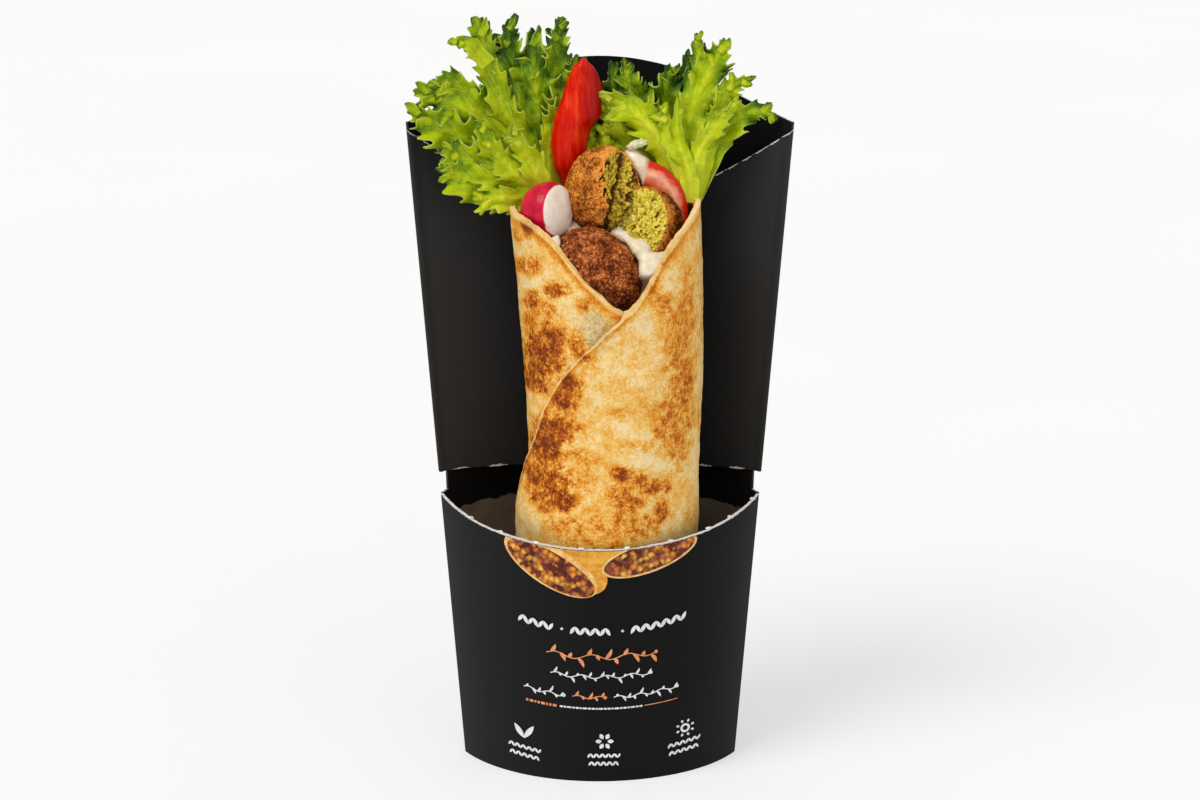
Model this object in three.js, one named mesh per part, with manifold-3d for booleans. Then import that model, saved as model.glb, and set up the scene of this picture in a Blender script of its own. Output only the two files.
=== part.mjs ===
// Half a falafel wrap standing in its take-away sleeve.
//
// Millimetres, +Z up, front towards -Y. The origin is the centre of the sleeve's underside.
// The sleeve is one folded board with a lens-shaped section. Its upper half is torn free at the front and the
// sides, and stands behind the wrap. The wrap is a rolled tortilla with a sauce core, three falafels, tomato,
// radish and lettuce in its open mouth. Angles round the wrap start at the front and turn towards +X.
import * as THREE from "three";
import { mergeVertices } from "three/addons/utils/BufferGeometryUtils.js";
import Module from "manifold-3d";

// ---- Driving dimensions: sleeve ----
const BOARD = 0.8; // thickness of the board
const BASE_HALF_WIDTH = 48.3; // crease to crease at the underside, halved
const BASE_HALF_DEPTH = 29.3;
const WIDENING = 0.0785; // half width gained for each mm of height
const DEEPENING = 0.0694; // half depth gained for each mm of height
const RIM_CORNER = 96.6; // height of the torn rim at the side creases
const RIM_FRONT = 86.8; // its lowest point, in the middle of the front
const HOOD_CORNER = 104.6; // lower corners of the upper half
const HOOD_DIP = 4.4; // how far its torn front edge hangs in the middle
const HOOD_FRONT_DEPTH = 26.6; // the pushed-back front panel, behind the wrap
const SCOOP_MIDDLE = 190; // top edge of that panel: deep in the middle, high at the creases
const SCOOP_CORNER = 226;
const ARCH_MIDDLE = 243.9; // top edge of the back panel
const ARCH_CORNER = 228.5;
const NECK_HALF_WIDTH = 52.6; // the strip that joins the two halves
const NECK_LOW = 97;

// ---- Driving dimensions: tortilla ----
const SHEET = 2.1; // thickness of one layer
const LAP = 1.9; // step of the outer layer over the inner one
const FOOT = 1.2; // height of the rolled foot, just above the sleeve's floor
const FOOT_ROUND = 9;
const GAP = 0.35; // between pieces that touch

// Height, sideways centre, half width, front-to-back centre, half depth of the roll.
const ROLL = [
  [0, 3.2, 28.0, -1.0, 24.5],
  [45, 3.0, 30.5, -2.4, 27.6],
  [92, 2.7, 32.4, -4.0, 29.2],
  [110, 4.0, 31.0, -4.0, 29.2],
  [142, 4.5, 32.0, -4.0, 29.4],
  [172, 3.6, 32.8, -4.0, 29.5],
  [203, 0.8, 33.6, -4.0, 29.5],
];
const V_FOOT = 169.7; // lowest point of the open rim
// Angle and height of the open rim: a deep V at the front, level at the back.
const RIM = [
  [-180, 198],
  [-120, 198],
  [-90, 200.2],
  [-60, 198.5],
  [-37, 192.6],
  [-16, 179.5],
  [7.5, V_FOOT],
  [19, 175.2],
  [35, 187.4],
  [58, 196.8],
  [85, 202.6],
  [120, 199],
  [180, 198],
];
// Height and angle of the outer layer's free edge, which runs down to the left from the foot of the V.
const FREE_EDGE = [
  [0, -96],
  [92, -92],
  [105.7, -80],
  [118.8, -61],
  [139.6, -40],
  [149.6, -26.3],
  [161, -6],
  [V_FOOT, 7.5],
  [203, 7.5],
];

// ---- Small tools ----
const rad = THREE.MathUtils.degToRad;
const { lerp, clamp, smoothstep } = THREE.MathUtils;
const v3 = (x, y, z) => new THREE.Vector3(x, y, z);

// A smooth curve through [position, value] pairs; column picks the value.
function track(rows, column = 1) {
  const slope = rows.map((row, i) => {
    const a = rows[Math.max(i - 1, 0)];
    const b = rows[Math.min(i + 1, rows.length - 1)];
    return (b[column] - a[column]) / (b[0] - a[0]);
  });
  return (at) => {
    let i = 0;
    while (i < rows.length - 2 && at > rows[i + 1][0]) i++;
    const span = rows[i + 1][0] - rows[i][0];
    const t = clamp((at - rows[i][0]) / span, 0, 1);
    const [p, q] = [rows[i][column], rows[i + 1][column]];
    const [m, n] = [slope[i] * span, slope[i + 1] * span];
    return p + t * (m + t * (3 * (q - p) - 2 * m - n + t * (2 * (p - q) + m + n)));
  };
}

// Repeatable noise between -1 and 1.
function grain(x, y, z) {
  const cell = Math.sin(x * 127.1 + y * 311.7 + z * 74.7) * 43758.5453;
  return 2 * (cell - Math.floor(cell)) - 1;
}
function noise(p, size) {
  const [x, y, z] = [p.x / size, p.y / size, p.z / size];
  const [i, j, k] = [Math.floor(x), Math.floor(y), Math.floor(z)];
  const [a, b, c] = [x - i, y - j, z - k].map((t) => t * t * (3 - 2 * t));
  const row = (dj, dk) => lerp(grain(i, j + dj, k + dk), grain(i + 1, j + dj, k + dk), a);
  return lerp(lerp(row(0, 0), row(1, 0), b), lerp(row(0, 1), row(1, 1), b), c);
}

// ---- Closed bodies ----
const wasm = await Module();
wasm.setup();

function toSolid(geometry) {
  const bare = geometry.clone();
  bare.deleteAttribute("normal");
  bare.deleteAttribute("uv");
  const merged = mergeVertices(bare, 1e-4);
  const solid = new wasm.Manifold(
    new wasm.Mesh({
      numProp: 3,
      vertProperties: new Float32Array(merged.attributes.position.array),
      triVerts: new Uint32Array(merged.index.array),
    }),
  );
  if (solid.volume() > 0) return solid;
  return toSolid(turned(merged));
}
function turned(geometry) {
  const order = geometry.index.array;
  for (let i = 0; i < order.length; i += 3) [order[i], order[i + 1]] = [order[i + 1], order[i]];
  return geometry;
}
function toGeometry(solid) {
  const mesh = solid.getMesh();
  return new THREE.BufferGeometry()
    .setAttribute("position", new THREE.BufferAttribute(mesh.vertProperties, 3))
    .setIndex(new THREE.BufferAttribute(mesh.triVerts, 1));
}
// Cuts the others out of a body and keeps its largest remaining part.
function carved(solid, ...others) {
  const rest = others.reduce((left, other) => left.subtract(other), solid);
  return rest.decompose().sort((a, b) => b.volume() - a.volume())[0];
}

// A thin body between two faces, both split into the same triangles. u and v run from 0 to 1.
function sheet(across, along, front, back) {
  const plane = new THREE.PlaneGeometry(1, 1, across, along);
  const { uv } = plane.attributes;
  const points = [];
  for (const side of [front, back]) {
    for (let i = 0; i < uv.count; i++) points.push(...side(uv.getX(i), uv.getY(i)));
  }
  const order = [];
  const faces = plane.index.array;
  for (let i = 0; i < faces.length; i += 3) {
    const [a, b, c] = faces.slice(i, i + 3);
    order.push(a, b, c, uv.count + a, uv.count + c, uv.count + b);
  }
  const edge = [];
  const wide = across + 1;
  for (let i = 0; i < across; i++) edge.push(i);
  for (let j = 0; j < along; j++) edge.push(across + j * wide);
  for (let i = across; i > 0; i--) edge.push(along * wide + i);
  for (let j = along; j > 0; j--) edge.push(j * wide);
  edge.forEach((a, i) => {
    const b = edge[(i + 1) % edge.length];
    order.push(a, b, uv.count + a, b, uv.count + b, uv.count + a);
  });
  return new THREE.BufferGeometry()
    .setAttribute("position", new THREE.Float32BufferAttribute(points, 3))
    .setIndex(order);
}

// A body of rings. place(angle, row) gives each point; the first and last row each meet in one point.
function rings(rows, segments, place) {
  const profile = Array.from(
    { length: rows },
    (_, j) => new THREE.Vector2(Math.sin((Math.PI * j) / (rows - 1)), j),
  );
  const body = new THREE.LatheGeometry(profile, segments);
  for (let i = 0; i <= segments; i++) {
    const angle = (360 * (i % segments)) / segments;
    for (let j = 0; j < rows; j++) {
      const p = place(angle > 180 ? angle - 360 : angle, j);
      body.attributes.position.setXYZ(i * rows + j, ...p);
    }
  }
  return body;
}

// ---- Sleeve ----
const halfWidth = (z) => BASE_HALF_WIDTH + WIDENING * z;
const halfDepth = (z) => BASE_HALF_DEPTH + DEEPENING * z;

// A point on a panel that arcs from crease to crease. s runs from -1 to 1 across it, bulge is the arc's depth in
// the middle (negative towards the front), and inset moves the point towards the arc's centre.
function onPanel(s, z, bulge, inset = 0) {
  const half = halfWidth(z);
  const depth = Math.abs(bulge);
  const radius = (half * half + depth * depth) / (2 * depth);
  const sweep = Math.asin(half / radius) * s;
  const reach = radius - inset;
  const y = reach * Math.cos(sweep) - (radius - depth);
  return v3(reach * Math.sin(sweep), Math.sign(bulge) * y, z);
}

const PAST_CREASE = 1.004; // panels run a little past the crease, so that they join there

function panel(rows, bulge, low, high, inset = 0) {
  const side = (into) => (u, v) => {
    const s = (2 * u - 1) * PAST_CREASE;
    const across = clamp(Math.abs(s), 0, 1);
    const z = lerp(low(across), high(across), v);
    return onPanel(s, z, bulge(z), into);
  };
  return toSolid(sheet(30, rows, side(inset), side(inset + BOARD)));
}

function sleeve() {
  const rim = (s) => lerp(RIM_FRONT, RIM_CORNER, s ** 1.9);
  const arch = (s) => lerp(ARCH_MIDDLE, ARCH_CORNER, Math.sin((Math.PI / 2) * s) ** 2);
  const scoop = (s) => lerp(SCOOP_MIDDLE, SCOOP_CORNER, s ** 1.4);
  const tornHem = (s) => lerp(HOOD_CORNER - HOOD_DIP, HOOD_CORNER, s ** 2);
  const ground = () => 0;

  const back = panel(3, halfDepth, ground, arch);
  const pocketFront = panel(2, (z) => -halfDepth(z), ground, rim);
  // The hood's front panel was pushed through to the back, so it bulges the same way as the back panel.
  const hoodFront = panel(3, () => HOOD_FRONT_DEPTH, tornHem, scoop, -BOARD);

  const outline = new THREE.Shape();
  const steps = 30;
  for (let i = 0; i < 2 * steps; i++) {
    const front = i < steps;
    const s = front ? (2 * i) / steps - 1 : 3 - (2 * i) / steps;
    const p = onPanel(s, 0, front ? -BASE_HALF_DEPTH : BASE_HALF_DEPTH, BOARD / 2);
    if (i) outline.lineTo(p.x, p.y);
    else outline.moveTo(p.x, p.y);
  }
  const floor = new THREE.ExtrudeGeometry(outline, { depth: BOARD, bevelEnabled: false });

  // Notches at both sides of the neck.
  const notchHeight = HOOD_CORNER - NECK_LOW;
  const notchWidth = 12;
  const notch = (side) => {
    const block = new THREE.BoxGeometry(notchWidth, 40, notchHeight);
    block.translate(side * (NECK_HALF_WIDTH + notchWidth / 2), 12, NECK_LOW + notchHeight / 2);
    return toSolid(block);
  };
  const neckedBack = back.subtract(notch(-1)).subtract(notch(1));
  return neckedBack.add(pocketFront).add(hoodFront).add(toSolid(floor));
}

// ---- Tortilla ----
const centreX = track(ROLL, 1);
const rollWidth = track(ROLL, 2);
const centreY = track(ROLL, 3);
const rollDepth = track(ROLL, 4);
const rimHeight = track(RIM);
const freeEdge = track(FREE_EDGE);

// A point on the roll at an angle in degrees, moved inwards by inset. The roll is a little uneven, and its foot
// is rounded off.
function onRoll(angle, z, inset) {
  const a = rad(angle);
  const wave = 0.45 * Math.sin(3 * a + z / 23) + 0.35 * Math.sin(5 * a - z / 17 + 1);
  const low = clamp((FOOT + FOOT_ROUND - z) / FOOT_ROUND, 0, 1);
  const round = FOOT_ROUND * (1 - Math.sqrt(1 - low * low));
  const shrink = inset - wave + round;
  return v3(
    centreX(z) + (rollWidth(z) - shrink) * Math.sin(a),
    centreY(z) - (rollDepth(z) - shrink) * Math.cos(a),
    z,
  );
}

// The sheet winds inwards by one layer in a full turn, so the only step is at the free edge.
function windIn(angle, z) {
  const past = (angle - freeEdge(z) + 720) % 360;
  const turn = past / 360;
  const edge = smoothstep(past, 0, 3);
  return LAP * (turn * edge + (1 - edge));
}
// Under the outer layer at the front lies the end of the inner one.
function under(angle, z) {
  const past = (angle - freeEdge(z) + 720) % 360;
  const below = smoothstep(V_FOOT - 3 - z, 0, 14);
  return LAP * below * (1 - smoothstep(past, 75, 100)) * smoothstep(past, 0, 8);
}
const innerWall = (angle, z) => windIn(angle, z) + SHEET + under(angle, z);

// Heights from low to high with one level where the foot's rounding ends.
function levels(low, high, count) {
  const rounded = FOOT + FOOT_ROUND;
  return (j) => (j === 0 ? low : lerp(rounded, high, (j - 1) / (count - 1)));
}

function tortilla() {
  const footRows = 2;
  const wallRows = 19;
  const innerRows = 5;
  const rows = footRows + wallRows + innerRows + 2;
  const roundRows = 3;
  return rings(rows, 52, (angle, row) => {
    const rim = rimHeight(angle);
    if (row < footRows) {
      const corner = onRoll(angle, FOOT, windIn(angle, FOOT));
      return corner.lerp(v3(centreX(0), centreY(0), FOOT), 1 - row / footRows);
    }
    if (row < footRows + wallRows) {
      const j = row - footRows;
      const start = FOOT + FOOT_ROUND;
      const z =
        j < roundRows
          ? FOOT + FOOT_ROUND * (1 - Math.cos((Math.PI / 2) * (j / roundRows)))
          : lerp(start, rim - 0.5, (j - roundRows) / (wallRows - 1 - roundRows));
      return onRoll(angle, z, windIn(angle, z));
    }
    const down = row - footRows - wallRows;
    const bottom = FOOT + SHEET;
    if (down === 0) return onRoll(angle, rim, windIn(angle, rim) + SHEET / 2);
    if (down <= innerRows) {
      const z = levels(bottom, rim - 0.5, innerRows - 1)(innerRows - down);
      return onRoll(angle, z, innerWall(angle, z));
    }
    return v3(centreX(0), centreY(0), bottom);
  });
}

// ---- Fillings ----
const CRAG = 0.5; // depth of the bumps on a fried crust

// A ball with radii, its bumps, and cut faces given as [direction, distance from the centre, roughness].
function lump({ centre, radii, tilt = 0, cuts = [], bumps = CRAG, bumpSize = 5, detail = 5 }, grow = 0) {
  const ball = new THREE.IcosahedronGeometry(1, detail);
  const { position } = ball.attributes;
  const turn = new THREE.Quaternion().setFromAxisAngle(v3(0, 1, 0), rad(tilt));
  for (let i = 0; i < position.count; i++) {
    const way = new THREE.Vector3().fromBufferAttribute(position, i).normalize();
    const local = way.clone().applyQuaternion(turn.clone().invert());
    const round = 1 / Math.hypot(local.x / radii[0], local.y / radii[1], local.z / radii[2]);
    const at = way.clone().multiplyScalar(round);
    let reach = round + bumps * noise(at.clone().addScalar(90), bumpSize);
    for (const [toward, distance, rough] of cuts) {
      const facing = way.dot(toward);
      const crumb = rough * noise(at.clone().addScalar(40), 3.1);
      if (facing > 0.05) reach = Math.min(reach, (distance + crumb) / facing);
    }
    position.setXYZ(i, ...way.multiplyScalar(reach + grow).add(centre));
  }
  return toSolid(ball);
}

const WHOLE = { centre: v3(-0.5, -15.8, 180.2), radii: [16.8, 13.6, 12.4], tilt: 46 };
const BROKEN = {
  centre: v3(1, -1.6, 205.4),
  radii: [12.9, 11.6, 15],
  tilt: 8,
  cuts: [[v3(0.8, -0.56, 0.2).normalize(), 7.2, 1.1]],
  detail: 4,
};
const HALF = {
  centre: v3(15.2, -6, 193.3),
  radii: [13.4, 12.2, 13.9],
  cuts: [[v3(-0.56, -0.76, 0.34).normalize(), 3.8, 0.9]],
  detail: 4,
};
const RADISH = {
  centre: v3(-17.4, -9.8, 199.8),
  radii: [9.7, 9.7, 9.7],
  cuts: [[v3(0.82, -0.57, 0.08).normalize(), 3.4, 0.05]],
  bumps: 0.15,
  detail: 4,
};
const ONION = {
  centre: v3(12.6, 4.4, 220.6),
  radii: [3.2, 2.4, 1.9],
  tilt: -20,
  bumps: 0.4,
  bumpSize: 2,
  detail: 2,
};

// A tall wedge of tomato: round skin to the front left, two cut faces that meet in an edge behind.
const WEDGE_FOOT = v3(-12.4, 10, 197);
const WEDGE_TIP = v3(-5.6, 8.6, 249.6);
const WEDGE_BOW = 0.8; // the skin bows out to the left in the middle
const WEDGE_HALF = 7.4;
function tomatoWedge(grow = 0) {
  const rows = 15;
  return rings(rows, 18, (angle, row) => {
    const s = row / (rows - 1);
    const spine = WEDGE_FOOT.clone().lerp(WEDGE_TIP, s);
    spine.x -= WEDGE_BOW * Math.sin(Math.PI * s);
    const size = row % (rows - 1) ? (WEDGE_HALF + grow) * Math.sin(Math.PI * s ** 1.4) ** 0.8 : 0;
    const a = rad(angle);
    const back = Math.max(0, -Math.cos(a)); // the section narrows to an edge at the back right
    const across = Math.sin(a) * (1 - 0.45 * back);
    return v3(spine.x + size * across + size * 0.35 * back, spine.y - 0.62 * size * Math.cos(a), spine.z);
  });
}

// A slice of tomato that stands against the right wall of the wrap. Only its rounded side shows.
const SLICE_CENTRE = v3(12.1, -0.6, 197.2);
const SLICE_RADIUS = 18.1;
const SLICE_THICK = 5.4;
function tomatoSlice(grow = 0) {
  const inside = 9;
  const shape = new THREE.Shape();
  shape.absarc(0, 0, SLICE_RADIUS + grow, rad(-14), rad(74), false);
  shape.absarc(0, 0, inside - grow, rad(74), rad(-14), true);
  const slice = new THREE.ExtrudeGeometry(shape, {
    depth: SLICE_THICK + 2 * grow,
    curveSegments: 14,
    bevelEnabled: false,
  });
  slice.rotateX(Math.PI / 2);
  slice.translate(SLICE_CENTRE.x, SLICE_CENTRE.y + SLICE_THICK + grow, SLICE_CENTRE.z);
  return toSolid(slice);
}

// ---- Lettuce ----
// A frilled leaf spreads like a fan from its base. Lobes are [angle from upright, length] across the fan, and
// slope says how far the leaf leans forward for each mm to the side.
const LEAVES = {
  lettuce_left_back: {
    base: v3(-16, 14.6, 202),
    foot: 7,
    slope: 0.41,
    lobes: [
      [-60, 46],
      [-53, 58],
      [-46, 59],
      [-38, 52],
      [-32, 62],
      [-26, 65],
      [-19, 57],
      [-12, 63],
      [-5, 57],
      [1, 62],
      [8, 56],
      [14, 40],
    ],
  },
  lettuce_left_front: {
    base: v3(-20, 4.5, 202.5),
    foot: 6,
    slope: 0.3,
    lobes: [
      [-88, 19],
      [-80, 28],
      [-71, 35],
      [-62, 31],
      [-53, 38],
      [-42, 33],
      [-30, 40],
      [-18, 33],
      [-10, 22],
    ],
  },
  lettuce_right_back: {
    base: v3(20, 13, 205),
    foot: 6,
    slope: 0.1,
    lobes: [
      [-42, 32],
      [-37, 40],
      [-32, 44],
      [-26, 48],
      [-18, 43],
      [-9, 44],
      [0, 40],
      [9, 42],
      [18, 36],
    ],
  },
  lettuce_right_front: {
    base: v3(25, 7, 205.5),
    foot: 6,
    slope: -0.12,
    lobes: [
      [-36, 27],
      [-26, 35],
      [-14, 41],
      [-2, 42],
      [6, 54],
      [13, 48],
      [20, 52],
      [27, 41],
      [34, 47],
      [42, 36],
      [50, 42],
      [56, 30],
    ],
  },
  lettuce_bit: {
    base: v3(0.6, 13, 204),
    foot: 3.5,
    slope: 0.1,
    lobes: [
      [-12, 20],
      [-6, 24],
      [0, 21],
      [6, 24],
      [12, 18],
    ],
  },
};
const LEAF_THICK = 1.1;
const RUFFLE = 2.4; // swing of the frilled edge
const RUFFLE_LENGTH = 15;

function leaf({ base, foot, slope, lobes }, grow = 0) {
  const [first, last] = [lobes[0][0], lobes[lobes.length - 1][0]];
  const length = track(lobes);
  const buried = 5; // the foot reaches this far down between the fillings
  const across = Math.round(2.5 * (lobes.length - 1));
  const middle = (u, v) => {
    const fan = lerp(first, last, u);
    const reach = length(fan) * v;
    const spread = foot * (u - 0.5) * (1 - 0.6 * v);
    const x = reach * Math.sin(rad(fan)) + spread;
    const z = reach * Math.cos(rad(fan)) - buried * (1 - v) ** 3;
    const swing = RUFFLE * v * v;
    const ruffle = swing * Math.sin((2 * Math.PI * (base.x + x)) / RUFFLE_LENGTH + (base.z + z) / 9);
    return v3(base.x + x, base.y + slope * x + ruffle, base.z + z);
  };
  const side = (sign) => (u, v) => {
    const p = middle(u, v);
    p.y += sign * (LEAF_THICK / 2 + grow);
    return p;
  };
  return toSolid(sheet(across, 5, side(-1), side(1)));
}

// ---- Sauce ----
// The sauce and chopped filling fill the roll, and show between the pieces in its mouth.
const SAUCE_LEVEL = 199; // height at the middle
const SAUCE_RISE = 0.74; // it climbs towards the back
const CORE_INSET = SHEET + LAP + 0.8; // clear of the thickest part of the rolled wall
function sauce() {
  const sideRows = 5;
  const topRows = 6;
  const bottom = FOOT + SHEET + GAP + 0.3;
  const top = (x, y) => SAUCE_LEVEL + SAUCE_RISE * Math.min(y, 3) + 1.3 * noise(v3(x, y, 7), 7);
  const rows = 1 + sideRows + topRows + 1;
  const core = rings(rows, 36, (angle, row) => {
    const brim = onRoll(angle, 190, CORE_INSET);
    const shore = Math.min(top(brim.x, brim.y), rimHeight(angle) - 1.5);
    if (row === 0) return v3(centreX(0), centreY(0), bottom);
    if (row <= sideRows) {
      const z = levels(bottom, shore, sideRows - 1)(row - 1);
      return onRoll(angle, z, CORE_INSET);
    }
    const inward = (row - sideRows) / (topRows + 1);
    const edge = onRoll(angle, shore, CORE_INSET);
    const middle = v3(centreX(190), centreY(190), shore);
    const p = edge.lerp(middle, inward);
    const rise = smoothstep(inward, 0, 0.35);
    p.z = inward === 1 ? top(p.x, p.y) : lerp(shore, top(p.x, p.y), rise);
    return p;
  });
  const smear = lump({ centre: v3(13.7, 5.4, 208.4), radii: [4.4, 4, 10.6], tilt: -14, detail: 3 });
  const dollop = lump({ centre: v3(-13.8, -18, 187.6), radii: [4.6, 3.6, 5.4], detail: 2 });
  return toSolid(core).add(smear).add(dollop);
}

// ---- Assembly ----
const made = {};
const grown = {};
made.falafel_whole = lump(WHOLE);
grown.falafel_whole = lump(WHOLE, GAP);
made.falafel_half = carved(lump(HALF), grown.falafel_whole);
grown.falafel_half = lump(HALF, GAP);
made.falafel_broken = carved(lump(BROKEN), grown.falafel_whole, grown.falafel_half);
grown.falafel_broken = lump(BROKEN, GAP);
made.radish = carved(lump(RADISH), grown.falafel_whole, grown.falafel_broken);
grown.radish = lump(RADISH, GAP);
made.tomato_wedge = carved(toSolid(tomatoWedge()), grown.falafel_broken, grown.radish);
grown.tomato_wedge = toSolid(tomatoWedge(GAP));
for (const [name, plan] of Object.entries(LEAVES)) {
  made[name] = carved(leaf(plan), grown.tomato_wedge);
  grown[name] = leaf(plan, GAP);
}
made.tomato_slice = carved(tomatoSlice(), grown.falafel_half, grown.falafel_broken, grown.lettuce_right_front);
grown.tomato_slice = tomatoSlice(GAP);
// The sauce closes round the others a little coarser than they are.
const hollows = [WHOLE, BROKEN, HALF, RADISH].map((plan) => lump({ ...plan, detail: 3 }, 4.3 * GAP));
const feet = [...Object.keys(LEAVES), "tomato_wedge", "tomato_slice"].map((name) => grown[name]);
made.onion_bit = lump(ONION);
made.sauce = carved(sauce(), ...hollows, ...feet, lump(ONION, GAP));
made.tortilla = toSolid(tortilla());
made.sleeve = sleeve();

const COLOURS = {
  sleeve: [0x262627, 0.8],
  tortilla: [0xe0ab66, 0.75],
  sauce: [0xf1e8d6, 0.35],
  falafel_whole: [0x6e3413, 0.8],
  falafel_broken: [0x8a4a1a, 0.8],
  falafel_half: [0xb5a33a, 0.85],
  radish: [0xd81f5c, 0.4],
  tomato_wedge: [0xd9200f, 0.25],
  tomato_slice: [0xdf5a44, 0.35],
  onion_bit: [0xe6e2c0, 0.4],
};
const LETTUCE = [0x7fb62a, 0.45];

const wrap = new THREE.Group();
for (const [name, solid] of Object.entries(made)) {
  const [color, roughness] = COLOURS[name] ?? LETTUCE;
  const material = new THREE.MeshStandardMaterial({ color, roughness, metalness: 0 });
  const mesh = new THREE.Mesh(toGeometry(solid), material);
  mesh.name = name;
  wrap.add(mesh);
}

export default wrap;
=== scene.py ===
# Half a falafel wrap standing in its torn-open take-away sleeve.
import math

import bpy
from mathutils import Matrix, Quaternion, Vector, noise


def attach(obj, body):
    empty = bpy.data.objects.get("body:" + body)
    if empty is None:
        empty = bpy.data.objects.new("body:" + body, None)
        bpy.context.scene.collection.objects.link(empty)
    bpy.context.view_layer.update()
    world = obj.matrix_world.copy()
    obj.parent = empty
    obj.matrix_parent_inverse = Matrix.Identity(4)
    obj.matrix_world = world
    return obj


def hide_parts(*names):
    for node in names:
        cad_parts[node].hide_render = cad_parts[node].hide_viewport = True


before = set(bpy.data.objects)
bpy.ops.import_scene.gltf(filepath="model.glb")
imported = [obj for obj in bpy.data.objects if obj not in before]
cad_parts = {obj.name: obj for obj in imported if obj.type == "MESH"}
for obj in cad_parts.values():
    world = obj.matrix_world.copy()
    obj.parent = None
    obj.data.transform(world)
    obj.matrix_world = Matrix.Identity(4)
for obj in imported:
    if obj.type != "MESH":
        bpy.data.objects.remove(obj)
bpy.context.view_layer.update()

# ---- Studio ----
# A pale seamless table under soft daylight. The camera stands in front, a little above the wrap, and looks
# down. The key light comes from the upper left, so that the soft shadow falls to the right, where a weak
# broad light fills in.
MM = 0.001
bpy.ops.object.select_all(action="DESELECT")
camera_down = math.radians(15)
camera_away = 1.150
look_at_height = 0.1304
bpy.ops.object.camera_add(
    location=(0, -camera_away * math.cos(camera_down), look_at_height + camera_away * math.sin(camera_down)),
    rotation=(math.pi / 2 - camera_down, 0, 0),
)
camera = bpy.context.object
camera.data.sensor_width = 36
camera.data.lens = 99
scene = bpy.context.scene
scene.camera = camera
scene.view_settings.view_transform = "Standard"

bpy.ops.object.light_add(type="SUN", rotation=(math.radians(37), 0, math.radians(-48)))
key_light = bpy.context.object
key_light.data.energy = 1.65
key_light.data.angle = math.radians(30)
key_light.data.color = (1.0, 0.985, 0.96)
bpy.ops.object.light_add(type="SUN", rotation=(math.radians(62), 0, math.radians(38)))
fill_light = bpy.context.object
fill_light.data.energy = 0.4
fill_light.data.angle = math.radians(70)
scene.world = bpy.data.worlds.new("daylight")
scene.world.use_nodes = True
sky = scene.world.node_tree.nodes["Background"]
sky.inputs["Color"].default_value = (1.0, 1.0, 1.0, 1)
sky.inputs["Strength"].default_value = 0.6


def start_finish(name, **uniform):
    """A new material, with the values that are the same all over it set on its shader."""
    material = bpy.data.materials.new(name)
    material.use_nodes = True
    shader = material.node_tree.nodes["Principled BSDF"]
    for socket, value in uniform.items():
        shader.inputs[socket.replace("_", " ")].default_value = value
    return material


def add(material, kind, *sources, output=0, **settings):
    """Adds a node. Its inputs come in order: a socket is linked, a plain value is set and None is left."""
    tree = material.node_tree
    made = tree.nodes.new("ShaderNode" + kind)
    for key, value in settings.items():
        setattr(made, key, value)
    for socket, source in zip(made.inputs, sources):
        if isinstance(source, bpy.types.NodeSocket):
            tree.links.new(source, socket)
        elif source is not None:
            socket.default_value = source
    return made.outputs[output]


def summed(material, first, *others):
    for other in others:
        first = add(material, "Math", first, other, operation="ADD")
    return first


def product(material, first, second):
    return add(material, "Math", first, second, operation="MULTIPLY")


def coordinate(material, axis):
    """One of the object's coordinates: 0 sideways, 2 in height."""
    return add(material, "SeparateXYZ", add(material, "TexCoord", output=3), output=axis)


def blend(material, share, first, second):
    """Mixes two colours by a share from 0 to 1."""
    return add(material, "MixRGB", share, first, second)


def ramp(material, source, stops):
    """Colours along a value: stops are (place, (r, g, b))."""
    out = add(material, "ValToRGB", source)
    band = out.node.color_ramp
    while len(band.elements) < len(stops):
        band.elements.new(0.5)
    for element, (place, colour) in zip(band.elements, stops):
        element.position = place
        element.color = (*colour, 1)
    return out


def grainy(material, size, detail=3, rough=0.55, at=None, stretch=None):
    """Noise with features about size millimetres wide, on the object's coordinates."""
    at = at or add(material, "TexCoord", output=3)
    if stretch:
        at = add(material, "Mapping", at, None, None, stretch)
    return add(material, "TexNoise", at, None, 1 / (size * MM), detail, rough)


def steps(material, value, low, high, to_low=0.0, to_high=1.0):
    """A clamped ramp from low to high."""
    return add(material, "MapRange", value, low, high, to_low, to_high)


def coat(material, colour=None, roughness=None, height=None, bump=0.0):
    """Connects the colour, the roughness and a height in millimetres to the shader."""
    tree = material.node_tree
    shader = tree.nodes["Principled BSDF"]
    if colour is not None:
        tree.links.new(colour, shader.inputs["Base Color"])
    if roughness is not None:
        tree.links.new(roughness, shader.inputs["Roughness"])
    if height is not None:
        relief = tree.nodes.new("ShaderNodeBump")
        relief.inputs["Distance"].default_value = bump * MM
        tree.links.new(height, relief.inputs["Height"])
        tree.links.new(relief.outputs[0], shader.inputs["Normal"])
    return material


# The table is lit from below as well, which keeps the shadow faint.
table_paper = start_finish(
    "table_paper", Roughness=0.9, Specular_IOR_Level=0.0, Emission_Color=(1, 1, 1, 1), Emission_Strength=0.48
)
paper_cloud = grainy(table_paper, 400)
coat(table_paper, ramp(table_paper, paper_cloud, [(0.3, (0.44, 0.44, 0.44)), (0.7, (0.46, 0.46, 0.46))]))
bpy.ops.mesh.primitive_plane_add(size=24)
table = bpy.context.object
table.name = "table"
table.data.materials.append(table_paper)

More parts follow.
